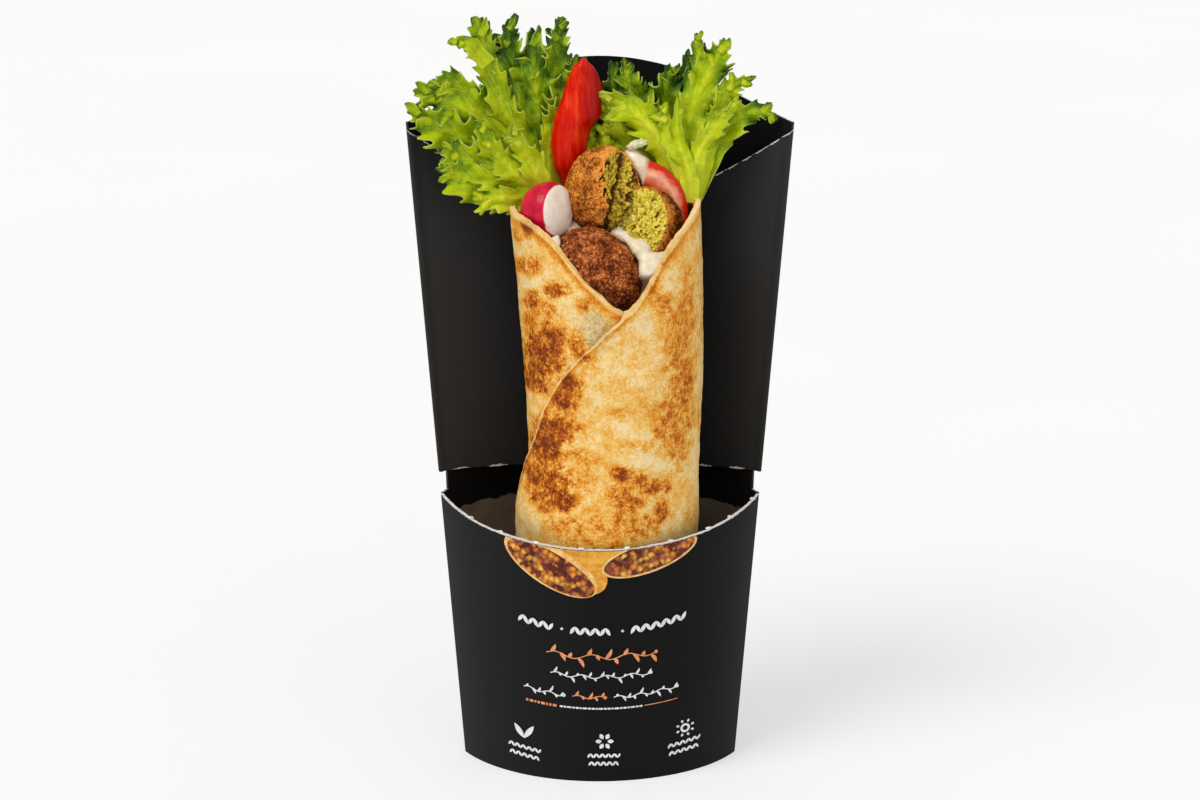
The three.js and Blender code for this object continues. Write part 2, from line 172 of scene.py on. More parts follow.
# ---- Sleeve ----
# One blank of thin board, printed matt black outside and bare inside, glued into a lens-shaped tube. It was
# torn open along its perforation: the front of the upper half is pushed back behind the wrap, and its rims
# show the white core of the board.
BOARD = 0.8
BASE_HALF_WIDTH, WIDENING = 48.3, 0.0785
BASE_HALF_DEPTH, DEEPENING = 29.3, 0.0694
RIM_FRONT, RIM_CORNER = 86.8, 96.6
HOOD_CORNER, HOOD_DIP, HOOD_FRONT_DEPTH = 104.6, 4.4, 26.6
SCOOP_MIDDLE, SCOOP_CORNER = 190, 226
ARCH_MIDDLE, ARCH_CORNER = 243.9, 228.5
NECK_LOW, NECK_HALF_WIDTH = 97, 52.6
BLACK_INSIDE_FROM = 89


def lerp(a, b, t):
    return a + (b - a) * t


def clamp(value, low=0.0, high=1.0):
    return max(low, min(high, value))


def smooth(value, low, high):
    t = clamp((value - low) / (high - low))
    return t * t * (3 - 2 * t)


def rough(x, y=0.0, z=0.0, size=1.0, octaves=2):
    """Repeatable noise from about -1 to 1 with features of that size."""
    return noise.fractal(Vector((x, y, z)) / size, 1.0, 2.0, octaves)


def pick(*pieces):
    """Selects just these pieces, with the first one active."""
    bpy.ops.object.select_all(action="DESELECT")
    for piece in pieces:
        piece.select_set(True)
    bpy.context.view_layer.objects.active = pieces[0]


def start_piece(name, operator, **settings):
    """Adds a primitive under that name, with nothing else selected."""
    bpy.ops.object.select_all(action="DESELECT")
    operator(**settings)
    made = bpy.context.object
    made.name = made.data.name = name
    return made


def bent_sheet(name, across, along, place, stored=None):
    """A grid whose point at (u, v), each 0 to 1, is moved to place(u, v), in millimetres. A fourth value that
    place gives is stored under that name."""
    made = start_piece(
        name, bpy.ops.mesh.primitive_grid_add, x_subdivisions=across, y_subdivisions=along, size=2
    )
    values = made.data.attributes.new(stored, "FLOAT", "POINT") if stored else None
    for i, vertex in enumerate(made.data.vertices):
        placed = place((vertex.co.x + 1) / 2, (vertex.co.y + 1) / 2)
        vertex.co = Vector(placed[:3]) * MM
        if stored:
            values.data[i].value = placed[3]
    return made


def finish_modifier(piece, kind, **settings):
    """Adds a modifier and applies it."""
    pick(piece)
    step = piece.modifiers.new(kind.title(), kind)
    for key, value in settings.items():
        setattr(step, key, value)
    bpy.ops.object.modifier_apply(modifier=step.name)


def thicken(piece, thickness, inside=0, rim=0):
    """Gives a sheet its thickness, behind the face that looks outwards."""
    finish_modifier(
        piece, "SOLIDIFY", thickness=thickness * MM, offset=-1,
        material_offset=inside, material_offset_rim=rim,
    )


def joined(pieces, name):
    pick(*pieces)
    if len(pieces) > 1:
        bpy.ops.object.join()
    pieces[0].name = pieces[0].data.name = name
    return pieces[0]


def rounded_shading(piece, angle):
    pick(piece)
    bpy.ops.object.shade_smooth_by_angle(angle=math.radians(angle))


def mark(piece, name, value_at):
    """Stores a value for each point, from its place in millimetres."""
    values = piece.data.attributes.new(name, "FLOAT", "POINT")
    for i, vertex in enumerate(piece.data.vertices):
        values.data[i].value = value_at(*(vertex.co / MM))


def marked(material, name):
    return add(material, "Attribute", output=2, attribute_name=name)


def settle(piece, slot, *nodes):
    """The piece rides on the body and stands for these nodes. The slot is not used."""
    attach(piece, "root")
    if nodes:
        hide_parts(*nodes)


def half_width(z):
    return BASE_HALF_WIDTH + WIDENING * z


def half_depth(z):
    return BASE_HALF_DEPTH + DEEPENING * z


def arc_radius(z, depth):
    half = half_width(z)
    return (half * half + depth * depth) / (2 * depth)


def on_panel(s, z, bulge, inset=0.0):
    """A point on a panel that arcs from crease to crease, s from -1 to 1. A negative bulge is the front."""
    half, depth = half_width(z), abs(bulge)
    radius = arc_radius(z, depth)
    sweep = math.asin(half / radius) * s
    reach = radius - inset
    y = reach * math.cos(sweep) - (radius - depth)
    return reach * math.sin(sweep), math.copysign(y, bulge), z


def torn(x, seed):
    """The ragged line of a tear."""
    return 0.22 * rough(x, seed, 0, 1.7, 3) + 0.3 * rough(x, seed, 5, 9)


def across_panel(x, z, bulge):
    """How far across a panel a point lies, from -1 to 1: the inverse of on_panel."""
    radius = arc_radius(z, abs(bulge))
    return math.asin(clamp(x / radius, -1, 1)) / math.asin(half_width(z) / radius)


def rim_height(s):
    return lerp(RIM_FRONT, RIM_CORNER, abs(s) ** 1.9)


def hem_height(s):
    return lerp(HOOD_CORNER - HOOD_DIP, HOOD_CORNER, s * s)


def scoop_height(s):
    return lerp(SCOOP_MIDDLE, SCOOP_CORNER, abs(s) ** 1.4)


def arch_height(s):
    return lerp(ARCH_MIDDLE, ARCH_CORNER, math.sin(math.pi / 2 * s) ** 2)


def black_print(name, tone, grain_tone, sheen_tone, dark_at):
    """Matt black ink with a fine grain, painted paler away from its darkest place across as a painted sheen,
    and the white core of the board where it is torn."""
    made = start_finish(name, Specular_IOR_Level=0.12)
    speck = grainy(made, 0.55, 2, 0.6)
    cloud = grainy(made, 26, 2)
    sideways = add(made, "Math", coordinate(made, 0), dark_at * MM, operation="SUBTRACT")
    sideways = add(made, "Math", sideways, operation="ABSOLUTE")
    tone_here = blend(made, steps(made, speck, 0.35, 0.7), (*tone, 1), (*grain_tone, 1))
    tone_here = blend(made, steps(made, cloud, 0.3, 0.75, 0.0, 0.35), tone_here, (*grain_tone, 1))
    # Painted sheen: the black is painted paler away from its darkest place, towards the sides of the panel.
    tone_here = blend(made, steps(made, sideways, 16 * MM, 66 * MM), tone_here, (*sheen_tone, 1))
    fibre = summed(made, marked(made, "tear"), grainy(made, 0.8, 2))
    tone_here = blend(made, steps(made, fibre, 1.02, 1.12), tone_here, (0.62, 0.6, 0.57, 1))
    return coat(made, tone_here, steps(made, speck, 0.3, 0.7, 0.55, 0.72), speck, 0.05)


# Both prints are the same board. The hood's black is painted lighter than the pocket's, as painted light.
pocket_print = black_print(
    "pocket_print", (0.002, 0.002, 0.002), (0.0045, 0.0045, 0.0046), (0.0108, 0.0108, 0.011), 17
)
hood_print = black_print(
    "hood_print", (0.0075, 0.0076, 0.008), (0.012, 0.0122, 0.013), (0.032, 0.0325, 0.034), 10
)

inner_board = start_finish("inner_board", Specular_IOR_Level=0.15, Roughness=0.9)
board_height = coordinate(inner_board, 2)
board_cloud = grainy(inner_board, 9, 4, 0.6)
bare_tone = blend(
    inner_board, steps(inner_board, board_cloud, 0.3, 0.7), (0.14, 0.105, 0.078, 1), (0.2, 0.165, 0.135, 1)
)
# The inside of the board is black above a slightly wandering line at the set height, and bare below it.
black_line_wander = steps(inner_board, grainy(inner_board, 5), 0.3, 0.7, 0.0, 1.6 * MM)
black_line_height = summed(inner_board, board_height, black_line_wander)
inner_tone = blend(
    inner_board,
    steps(inner_board, black_line_height, BLACK_INSIDE_FROM * MM, (BLACK_INSIDE_FROM + 0.4) * MM),
    bare_tone,
    (0.0035, 0.0035, 0.0038, 1),
)
coat(inner_board, inner_tone, None, grainy(inner_board, 0.6), 0.06)

white_core = start_finish("white_core", Roughness=0.95, Specular_IOR_Level=0.1)
core_grain = grainy(white_core, 1.1, 4, 0.7)
core_tone = ramp(white_core, core_grain, [(0.3, (0.42, 0.38, 0.34)), (0.55, (0.8, 0.78, 0.75))])
coat(white_core, core_tone, None, grainy(white_core, 0.4), 0.2)

cut_edge = start_finish("cut_edge", Roughness=0.9, Specular_IOR_Level=0.1)
cut_grain = grainy(cut_edge, 2.2, 4, 0.7)
coat(cut_edge, ramp(cut_edge, cut_grain, [(0.4, (0.08, 0.08, 0.08)), (0.56, (0.6, 0.6, 0.6))]))

NOTCH_STEP = 0.05
FIXED_BELOW = 120  # above this height a panel's rows follow its upper edge


def row_heights(low, high, count, *breaks):
    """Heights from low to high, with a double row at each break."""
    rows = [lerp(low, high, i / count) for i in range(count + 1)]
    for level in breaks:
        rows = [row for row in rows if abs(row - level) > 1] + [level - NOTCH_STEP, level + NOTCH_STEP]
    return sorted(rows)


def build_panel(
    name, skin, across, rows, bulge, low, high, flip=False, side=None, tear=None, edges=(2, 2), wrap=False
):
    """A curved panel of board. low(s) and high(s) are its edges, side(z) narrows it, edges are the finishes
    of its lower and upper edge, and wrap folds its sides over the panel behind."""
    top = rows[-1]
    hinge = FIXED_BELOW if rows[0] < FIXED_BELOW < top else rows[0]

    def place(u, v):
        s = (2 * u - 1) * (-1 if flip else 1)
        row = rows[round(v * (len(rows) - 1))]
        if hinge == rows[0]:
            z = lerp(low(s), high(s), (row - hinge) / (top - hinge))
        elif row > hinge:
            z = lerp(hinge, high(s), (row - hinge) / (top - hinge))
        else:
            z = row
        s *= side(z) if side else 1
        x, y, z = on_panel(s, z, bulge(z))
        fold = 1.25 * smooth(abs(s), 0.93, 0.98) - 0.7 * smooth(abs(s), 0.985, 1) if wrap else 0
        return x, y - fold + 0.3 * rough(x, z, 0, 45, 1) * (1 - s * s), z

    made = bent_sheet(name, across, len(rows) - 1, place)
    for finish in (skin, inner_board, white_core, cut_edge):
        made.data.materials.append(finish)
    if tear:
        mark(made, "tear", tear)
    thicken(made, BOARD, 1, 2)
    for face in made.data.polygons:
        if face.material_index == 2:
            up = face.normal.z
            face.material_index = edges[0] if up < -0.6 else edges[1] if up > 0.6 else 0
    return made


def pocket_tear(x, y, z):
    return 1 - (rim_height(across_panel(x, z, half_depth(z))) - z) / 0.9


def hood_tear(x, y, z):
    s = across_panel(x, z, HOOD_FRONT_DEPTH)
    hem = 1 - (z - hem_height(s)) / 1.3 - 0.35 * (1 - math.cos(2 * math.pi * x / 12.1))
    scoop = 1 - (scoop_height(s) - z) / 1.3 - 0.2 * (1 - math.cos(2 * math.pi * x / 4.6))
    return max(hem, scoop)


def notched(z):
    return NECK_HALF_WIDTH / half_width(z) if NECK_LOW < z < HOOD_CORNER else 1


panels = [
    build_panel(
        "pocket_front", pocket_print, 240, row_heights(0, RIM_FRONT, 44), lambda z: -half_depth(z),
        lambda s: 0, lambda s: rim_height(s) + torn(60 * s, 3), tear=pocket_tear,
    ),
    build_panel(
        "back_panel", hood_print, 120, row_heights(0, ARCH_MIDDLE, 60, NECK_LOW, HOOD_CORNER), half_depth,
        lambda s: 0, arch_height, flip=True, side=notched, edges=(2, 3),
    ),
    build_panel(
        "hood_front", hood_print, 200, row_heights(121, 200, 40), lambda z: HOOD_FRONT_DEPTH,
        lambda s: hem_height(s) + torn(60 * s, 9), scoop_height, tear=hood_tear, edges=(2, 3), wrap=True,
    ),
]


def floor_place(u, v):
    x, y, z = on_panel(1 - 2 * u, 0, BASE_HALF_DEPTH, 0.5)
    return x, y * (2 * v - 1), 0


sleeve_floor = bent_sheet("sleeve_floor", 60, 8, floor_place)
for finish in (pocket_print, inner_board):
    sleeve_floor.data.materials.append(finish)
thicken(sleeve_floor, BOARD, 1, 1)
panels.append(sleeve_floor)

# The nubs that held the perforation together, left along the front rim.
NUBS = (-40, -29.3, -17.8, -5.3, 7.5, 20, 32.3, 40.6, 51.6)
for i, x in enumerate(NUBS):
    s = x / half_width(RIM_FRONT)
    z = rim_height(s)
    nub_at = Vector(on_panel(s, z, -half_depth(z), BOARD / 2))
    nub = start_piece("nub", bpy.ops.mesh.primitive_ico_sphere_add, subdivisions=3, radius=1)
    for vertex in nub.data.vertices:
        way = vertex.co.copy()
        size = 1 + 0.3 * rough(*(way * 1.3 + Vector((i * 3, 0, 0))))
        vertex.co = (nub_at + Vector((way.x * 1.05, way.y * 0.5, way.z * 0.55 + 0.15)) * size) * MM
    nub.data.materials.append(white_core)
    panels.append(nub)
sleeve = joined(panels, "sleeve_board")
rounded_shading(sleeve, 35)
settle(sleeve, "board", "sleeve")

# ---- Print on the pocket ----
# A plain generic design in flat inks: two tilted ovals filled with round spots under the rim, rows of leaves
# and sprigs below them, and three small badges. Each ink is a thin layer on the curved front of the pocket.
INK_THICK = 0.06


def on_pocket(x, z, lift):
    z = min(z, rim_height(across_panel(x, z, half_depth(z))) - 0.5)
    radius = arc_radius(z, half_depth(z))
    y = -(math.sqrt((radius + lift) ** 2 - x * x) - (radius - half_depth(z)))
    return x, y, z


def stroke(path, width, lift=0.3, across=1):
    """One brush stroke. path(t) is (x, z) on the pocket for t from 0 to 1, and width(t) its width there."""
    reach = sum(math.dist(path(i / 8), path((i + 1) / 8)) for i in range(8))

    def place(u, v):
        a, b = path(max(0, u - 0.01)), path(min(1, u + 0.01))
        way = Vector((b[0] - a[0], b[1] - a[1])).normalized()
        x, z = path(u)
        off = (v - 0.5) * width(u)
        return on_pocket(x - way.y * off, z + way.x * off, lift)

    return bent_sheet("stroke", max(4, int(reach / 0.4)), across, place)


def line(x0, z0, x1, z1):
    return lambda t: (lerp(x0, x1, t), lerp(z0, z1, t))


def even_width(w):
    return lambda t: w


def leaf_width(w):
    return lambda t: w * max(0.02, math.sin(math.pi * t)) ** 0.8


def oval_width(w):
    return lambda t: w * math.sqrt(max(0.0008, 1 - (2 * t - 1) ** 2))


def ring(x, z, r):
    return lambda t: (x + r * math.cos(2 * math.pi * t), z + r * math.sin(2 * math.pi * t))


def ink(name, strokes, finish):
    made = joined(strokes, name)
    made.data.materials.append(finish)
    thicken(made, INK_THICK)
    settle(made, "board")


def flat_ink(name, colour, shade):
    made = start_finish(name, Roughness=0.6, Specular_IOR_Level=0.2)
    return coat(made, ramp(made, grainy(made, 2.6, 4, 0.7), [(0.35, shade), (0.6, colour)]))


cream_ink = flat_ink("cream_ink", (0.84, 0.6, 0.26), (0.7, 0.34, 0.06))
tan_ink = flat_ink("tan_ink", (0.8, 0.4, 0.05), (0.55, 0.2, 0.02))
white_ink = flat_ink("white_ink", (0.8, 0.8, 0.8), (0.6, 0.6, 0.61))
orange_ink = flat_ink("orange_ink", (0.78, 0.34, 0.15), (0.6, 0.18, 0.07))

spot_ink = start_finish("spot_ink", Roughness=0.6, Specular_IOR_Level=0.2)
spot_place = add(spot_ink, "Mapping", add(spot_ink, "TexCoord", output=3), None, None, (1, 0, 1))
spot_wander = grainy(spot_ink, 1.6, 2, at=spot_place).node.outputs["Color"]
spot_place = blend(spot_ink, 0.0016, spot_place, spot_wander)
spots = add(spot_ink, "TexVoronoi", spot_place, None, 1 / (1.9 * MM))
spot_colour = ramp(
    spot_ink,
    add(spot_ink, "SeparateColor", spots.node.outputs["Color"]),
    [
        (0.0, (0.06, 0.012, 0.008)), (0.26, (0.2, 0.035, 0.02)), (0.28, (0.62, 0.17, 0.02)),
        (0.6, (0.8, 0.29, 0.03)), (0.62, (0.85, 0.42, 0.06)), (0.76, (0.86, 0.45, 0.08)),
        (0.78, (0.5, 0.14, 0.06)), (1.0, (0.3, 0.06, 0.03)),
    ],
)
spot_shade = steps(spot_ink, spots, 0.25, 0.7, 0.0, 0.8)
spot_colour = blend(spot_ink, spot_shade, spot_colour, (0.08, 0.012, 0.006, 1))
coat(spot_ink, spot_colour)

LEFT_OVAL = line(-32.6, 87.9, -1.2, 70.4)
RIGHT_OVAL = line(0.6, 78.9, 33.4, 88.4)


def inner_part(path, share):
    return lambda t: path(0.5 + (t - 0.5) * share)


def raised(path, up):
    return lambda t: (path(t)[0], path(t)[1] + up)


ink("print_wedge", [
    stroke(line(-21, 89, 1.6, 72.6), oval_width(16), 0.22, 12),
    stroke(line(-12, 84, 9.5, 84.5), oval_width(13), 0.2, 12),
], tan_ink)
ink("print_rims", [
    stroke(raised(LEFT_OVAL, 0.8), oval_width(14.6), 0.28, 14),
    stroke(RIGHT_OVAL, oval_width(11.6), 0.28, 14),
], cream_ink)
ink("print_spots", [
    stroke(inner_part(LEFT_OVAL, 0.94), oval_width(11.9), 0.34, 14),
    stroke(inner_part(RIGHT_OVAL, 0.95), oval_width(10.2), 0.34, 14),
], spot_ink)

white_strokes, orange_strokes = [], []


def arc_row(z_middle, rise):
    return lambda x: z_middle + rise * (x / 30) ** 2


def leaves(strokes, row, x0, x1, tall, wide, pitch):
    """A row of slanting leaves, every other one leaning the other way."""
    for i in range(int((x1 - x0) / pitch)):
        x, lean = x0 + pitch * (i + 0.5), 0.45 * pitch * (-1) ** i
        slant = line(x - lean, row(x - lean) - tall / 2, x + lean, row(x + lean) + tall / 2)
        strokes.append(stroke(slant, leaf_width(wide), across=2))


def sprig(strokes, row, x0, x1, sway, leaf, width, loops):
    """A swaying stem with curved leaves on both sides."""

    def stem(t):
        x = lerp(x0, x1, t)
        return x, row(x) + sway * math.sin(2 * math.pi * loops * t)

    strokes.append(stroke(stem, even_width(0.34)))
    count = int((x1 - x0) / (0.72 * leaf))
    for i in range(count):
        t = (i + 0.4) / count
        (x, z), up = stem(t), (-1) ** i
        long = leaf * (0.82 + 0.3 * math.sin(2.3 * i + x0))

        def blade(q, x=x, z=z, up=up, long=long):
            return x + long * (0.75 * q - 0.25 * q * q), z + up * long * (0.35 * q + 0.4 * q * q)

        strokes.append(stroke(blade, leaf_width(width), 0.32, 2))
    strokes.append(stroke(ring(*stem(1), 0.45), even_width(0.5)))


def dashes(strokes, row, x0, x1, height, lengths):
    """A row of short dashes with small gaps."""
    x, i = x0, 0
    while x < x1:
        length = lengths[i % len(lengths)]
        strokes.append(stroke(line(x, row(x), x + length, row(x + length)), even_width(height), across=2))
        x += length + height * 0.5
        i += 1


top_row = arc_row(56.6, 3.7)
for x0, x1 in ((-28.4, -16), (-10.4, 5), (10.6, 30.4)):
    leaves(white_strokes, top_row, x0, x1, 2.9, 1.25, 1.75)
for x in (-13.2, 7.8):
    white_strokes.append(stroke(ring(x, top_row(x), 0.3), even_width(0.6)))
third_row = arc_row(32.0, 2.6)
sprig(orange_strokes, arc_row(47.2, 2.4), -18.6, 19.4, 0.9, 4.3, 1.35, 3)
sprig(white_strokes, arc_row(39.8, 2.4), -17.2, 17.6, 0.6, 2.7, 0.85, 4)
sprig(white_strokes, third_row, -26.6, -12.6, 0.5, 2.7, 0.85, 2)
sprig(orange_strokes, third_row, -9.6, 1.8, 0.5, 2.9, 0.95, 1.5)
sprig(white_strokes, third_row, 4.8, 26.8, 0.5, 2.7, 0.85, 3)
low_row = arc_row(27.8, 1.9)
dashes(orange_strokes, low_row, -25.8, -15, 0.9, (0.8, 1.3, 0.6))
dashes(white_strokes, low_row, -14, 14, 0.62, (1.1, 0.7, 1.6, 0.9))
orange_strokes.append(stroke(lambda t: (lerp(15.5, 27, t), low_row(lerp(15.5, 27, t))), even_width(0.28)))

# Three badges: a sprout, a flower and a small sun, each over two rows of small leaves.
for x, z, tilt in ((-26.2, 10.6, -0.12), (1.6, 9.9, 0.0), (29.8, 12.0, 0.11)):
    for down, long in ((0, 6.0), (3.0, 5.6)):

        def badge_row(q, x=x, z=z, tilt=tilt, down=down):
            return z - down + tilt * (q - x)

        leaves(white_strokes, badge_row, x - long, x + long, 1.7, 0.8, 1.05)
for lean in (-1, 1):
    white_strokes.append(stroke(line(-26.6, 14.2, -26.6 + lean * 3.4, 19.2), leaf_width(1.9), across=2))


def rays(strokes, x, z, count, start, inner, outer, width):
    """Small leaves that stand round a middle."""
    for i in range(count):
        turn = 2 * math.pi * (i + start) / count
        over, up = math.cos(turn), math.sin(turn)
        way = line(x + inner * over, z + inner * up, x + outer * over, z + outer * up)
        strokes.append(stroke(way, leaf_width(width), across=2))


rays(white_strokes, 1.6, 15.4, 6, 0, 1.0, 3.2, 1.5)
white_strokes.append(stroke(ring(29.9, 17.3, 1.3), even_width(0.8), across=2))
rays(white_strokes, 29.9, 17.3, 8, 0.5, 2.2, 3.4, 0.9)
ink("print_white", white_strokes, white_ink)
ink("print_orange", orange_strokes, orange_ink)

# ---- Tortilla ----
# A thin wheat flatbread, toasted on a hot plate until it is spotted brown, and rolled to a tube. The sheet
# winds round once and a bit more, so that its free edge runs down the front from the foot of the open V.
SHEET, LAP = 1.75, 1.9
FOOT, FOOT_ROUND = 1.2, 9
ROLL = (
    (0, 3.2, 28.0, -1.0, 24.5),
    (45, 3.0, 30.5, -2.4, 27.6),
    (92, 2.7, 32.4, -4.0, 29.2),
    (110, 4.0, 31.0, -4.0, 29.2),
    (142, 4.5, 32.0, -4.0, 29.4),
    (172, 3.6, 32.8, -4.0, 29.5),
    (203, 0.8, 33.6, -4.0, 29.5),
)
V_FOOT, V_ANGLE = 169.7, 7.5
MOUTH = (
    (-180, 198), (-120, 198), (-90, 200.2), (-60, 198.5), (-37, 192.6), (-16, 179.5), (V_ANGLE, V_FOOT),
    (19, 175.2), (35, 187.4), (58, 196.8), (85, 202.6), (120, 199), (180, 198),
)
FREE_EDGE = (
    (0, -96), (92, -92), (105.7, -80), (118.8, -61), (139.6, -40), (149.6, -26.3), (161, -6),
    (V_FOOT, V_ANGLE), (203, V_ANGLE),
)
WINDING = 435  # degrees that the sheet turns in all
# Toasted marks: sideways place, height, half width, half height, tilt in degrees, and how dark.
SCORCHES = (
    (-19.2, 152.8, 7.4, 11, -14, 1), (-21.5, 143, 5.2, 6, 0, 0.9), (-23.8, 181.8, 5.2, 3, 32, 0.72),
    (-15.4, 175.6, 4.8, 3.2, 30, 0.76), (-23.6, 170.4, 3, 4.2, -8, 0.7), (-17.2, 168.2, 4.8, 3.6, 0, 0.5),
    (-5.6, 171.4, 2.4, 3.2, -10, 0.55), (-24, 197, 2.4, 5, -20, 0.6), (-28, 191, 2, 3.2, 0, 0.5),
    (-14, 160, 3.4, 5, 0, 0.42), (-6.4, 155.8, 3.4, 6.4, 38, 0.58), (-10.2, 143.6, 3.8, 5, 30, 0.78),
    (-11.8, 137.4, 4.6, 4.2, 10, 0.85), (-15.2, 127, 8.4, 6, 12, 0.86), (-17.8, 121, 6.6, 7.2, 8, 0.95),
    (-18.4, 108, 9, 10, 10, 0.84), (-13.6, 103.4, 5, 5.4, 24, 1), (-11, 93.6, 7.6, 6.2, 0, 0.4),
    (13.4, 110.8, 4, 3, 0, 0.6), (8.2, 112.4, 5, 3, -20, 0.72),
    (18.6, 107.6, 5, 3.6, -10, 0.92), (9, 103, 7.6, 5, -25, 0.66),
    (21, 97.6, 3.2, 4.4, -20, 0.74), (12, 93, 9, 5.6, 0, 0.6), (25.6, 128, 7, 16, 0, 0.44),
    (27.6, 158, 6, 22, -4, 0.36), (28, 143, 5, 12, 0, 0.5), (21.4, 171.8, 4, 9, 25, 0.36),
    (6.6, 134, 4.2, 2.8, -20, 0.3), (20, 186, 2.4, 7, -35, 0.4), (14.4, 122.8, 6, 2.6, 0, 0.3),
    (1, 92, 16, 9, 0, 0.34), (-8, 114, 8, 12, 0, 0.34), (-24, 160, 3.4, 8, 0, 0.4),
)
# Where the filling shows through: sideways place, height, half width, half height.
DAMP = (-1.5, 163.6, 6.4, 8.4)
CLOSING = 0.04  # share of the sheet's height that closes the foot


def track(rows, column=1):
    """A smooth curve through rows of (position, value, ...)."""
    slopes = []
    for i in range(len(rows)):
        a, b = rows[max(i - 1, 0)], rows[min(i + 1, len(rows) - 1)]
        slopes.append((b[column] - a[column]) / (b[0] - a[0]))

    def value(at):
        i = 0
        while i < len(rows) - 2 and at > rows[i + 1][0]:
            i += 1
        span = rows[i + 1][0] - rows[i][0]
        t = clamp((at - rows[i][0]) / span)
        p, q = rows[i][column], rows[i + 1][column]
        m, n = slopes[i] * span, slopes[i + 1] * span
        return p + t * (m + t * (3 * (q - p) - 2 * m - n + t * (2 * (p - q) + m + n)))

    return value


centre_x, roll_width, centre_y, roll_depth = (track(ROLL, column) for column in (1, 2, 3, 4))
mouth_height, free_edge = track(MOUTH), track(FREE_EDGE)


def on_roll(angle, z, inset):
    """A point on the roll, moved inwards. The angle is 0 at the front and grows towards the right."""
    a = math.radians(angle)
    swell = 0.45 * math.sin(3 * a + z / 23) + 0.35 * math.sin(5 * a - z / 17 + 1)
    low = clamp((FOOT + FOOT_ROUND - z) / FOOT_ROUND)
    shrink = inset - swell + FOOT_ROUND * (1 - math.sqrt(1 - low * low))
    return Vector((
        centre_x(z) + (roll_width(z) - shrink) * math.sin(a),
        centre_y(z) - (roll_depth(z) - shrink) * math.cos(a),
        z,
    ))


def tortilla_place(u, v):
    turned = WINDING * u
    round_angle = (V_ANGLE + turned + 180) % 360 - 180
    if turned < 360:
        top = mouth_height(round_angle)
    else:
        top = V_FOOT - 0.5 * (turned - 360)
    ragged = 0.7 * rough(turned, 1, 0, 11) + 0.35 * rough(turned, 1, 0, 2.5, 3)
    if v < CLOSING:
        corner = on_roll(free_edge(FOOT) + turned, FOOT, LAP * turned / 360)
        return (*Vector((centre_x(0), centre_y(0), FOOT + 0.3)).lerp(corner, v / CLOSING), 9)
    z = lerp(FOOT, top + ragged, (v - CLOSING) / (1 - CLOSING))
    angle = free_edge(z) + turned
    edge_wander = 2.2 * rough(0, z, 3, 16) * (1 - smooth(turned, 0, 40))
    lifted = 0.5 * (1 - smooth(turned, 0, 9)) * smooth(z, 95, 120)
    inset = LAP * turned / 360 - lifted + 0.5 * smooth(turned, 352, 372)
    p = on_roll(angle + edge_wander, z, inset)
    out = Vector((math.sin(math.radians(angle)), -math.cos(math.radians(angle)), 0))
    wrinkle = 0.42 * rough(p.x, p.y, p.z, 13, 3) + 0.16 * rough(p.x, p.y, p.z, 2.6, 3)
    from_rim = min(top - z, 1.9 * math.radians(turned) * roll_width(z) if z > 88 else 9)
    return (*(p + out * wrinkle), clamp(from_rim, 0, 9))


toasted = start_finish("toasted_flatbread", Specular_IOR_Level=0.1)
wide_toast = grainy(toasted, 12, 4, 0.62)
fine_toast = grainy(toasted, 2.6, 5, 0.7)
specks = grainy(toasted, 0.8, 4, 0.7)
from_rim = marked(toasted, "from_rim")
near_rim = product(toasted, steps(toasted, from_rim, 1.2, 2.2), steps(toasted, from_rim, 2.6, 6.5, 0.26, 0))
# Where the plate has marked the bread, its colour breaks up into crisp spots with orange rings.
mottle = summed(
    toasted, steps(toasted, fine_toast, 0.34, 0.66, -0.5, 0.34), steps(toasted, specks, 0.34, 0.66, -0.2, 0.2)
)
scorched = marked(toasted, "scorch")
share = add(toasted, "Math", scorched, 0.72, 0.24, operation="MULTIPLY_ADD")
toast = steps(toasted, scorched, 0, 1, 0, 0.68)
toast = add(toasted, "Math", mottle, share, toast, operation="MULTIPLY_ADD")
toast = summed(
    toasted, toast, steps(toasted, specks, 0.36, 0.66, -0.05, 0.09),
    steps(toasted, wide_toast, 0.34, 0.7, 0.0, 0.26), near_rim,
)
toast_colour = ramp(toasted, toast, [
    (0.0, (0.88, 0.68, 0.36)), (0.12, (0.85, 0.54, 0.16)), (0.27, (0.8, 0.38, 0.05)),
    (0.42, (0.67, 0.22, 0.016)), (0.58, (0.43, 0.105, 0.007)), (0.78, (0.25, 0.047, 0.005)),
    (1.0, (0.13, 0.022, 0.005)),
])
damp_share = product(toasted, marked(toasted, "damp"), steps(toasted, specks, 0.4, 0.6, 0.35, 1.0))
toast_colour = blend(toasted, damp_share, toast_colour, (0.24, 0.13, 0.03, 1))
# A pale band along the rim and the free edge: partly flour on the bread and partly a painted highlight along
# the edge.
rim_flour_and_highlight = product(
    toasted, steps(toasted, from_rim, 0.7, 1.7, 1.0, 0.0), steps(toasted, fine_toast, 0.34, 0.6, 0.9, 0.35)
)
toast_colour = blend(toasted, rim_flour_and_highlight, toast_colour, (0.86, 0.62, 0.28, 1))
toast_roughness = steps(toasted, toast, 0.2, 0.9, 0.66, 0.5)
coat(toasted, toast_colour, toast_roughness, blend(toasted, 0.5, fine_toast, specks), 0.6)


def scorch(x, y, z):
    """How dark the plate has toasted the bread here."""
    depth = 0.0
    if y < -2:
        for sx, sz, wide, tall, tilt, dark in SCORCHES:
            t = math.radians(tilt)
            dx, dz = x - sx, z - sz
            a, b = dx * math.cos(t) + dz * math.sin(t), dz * math.cos(t) - dx * math.sin(t)
            near = math.hypot(a / wide, b / tall) + 0.4 * rough(x, z, sx, 4, 4)
            depth = max(depth, dark * (1 - smooth(near, 0.35, 1.4)))
    else:
        depth = 0.75 * smooth(rough(x, y, z, 17, 3), 0.12, 0.6)
    return depth


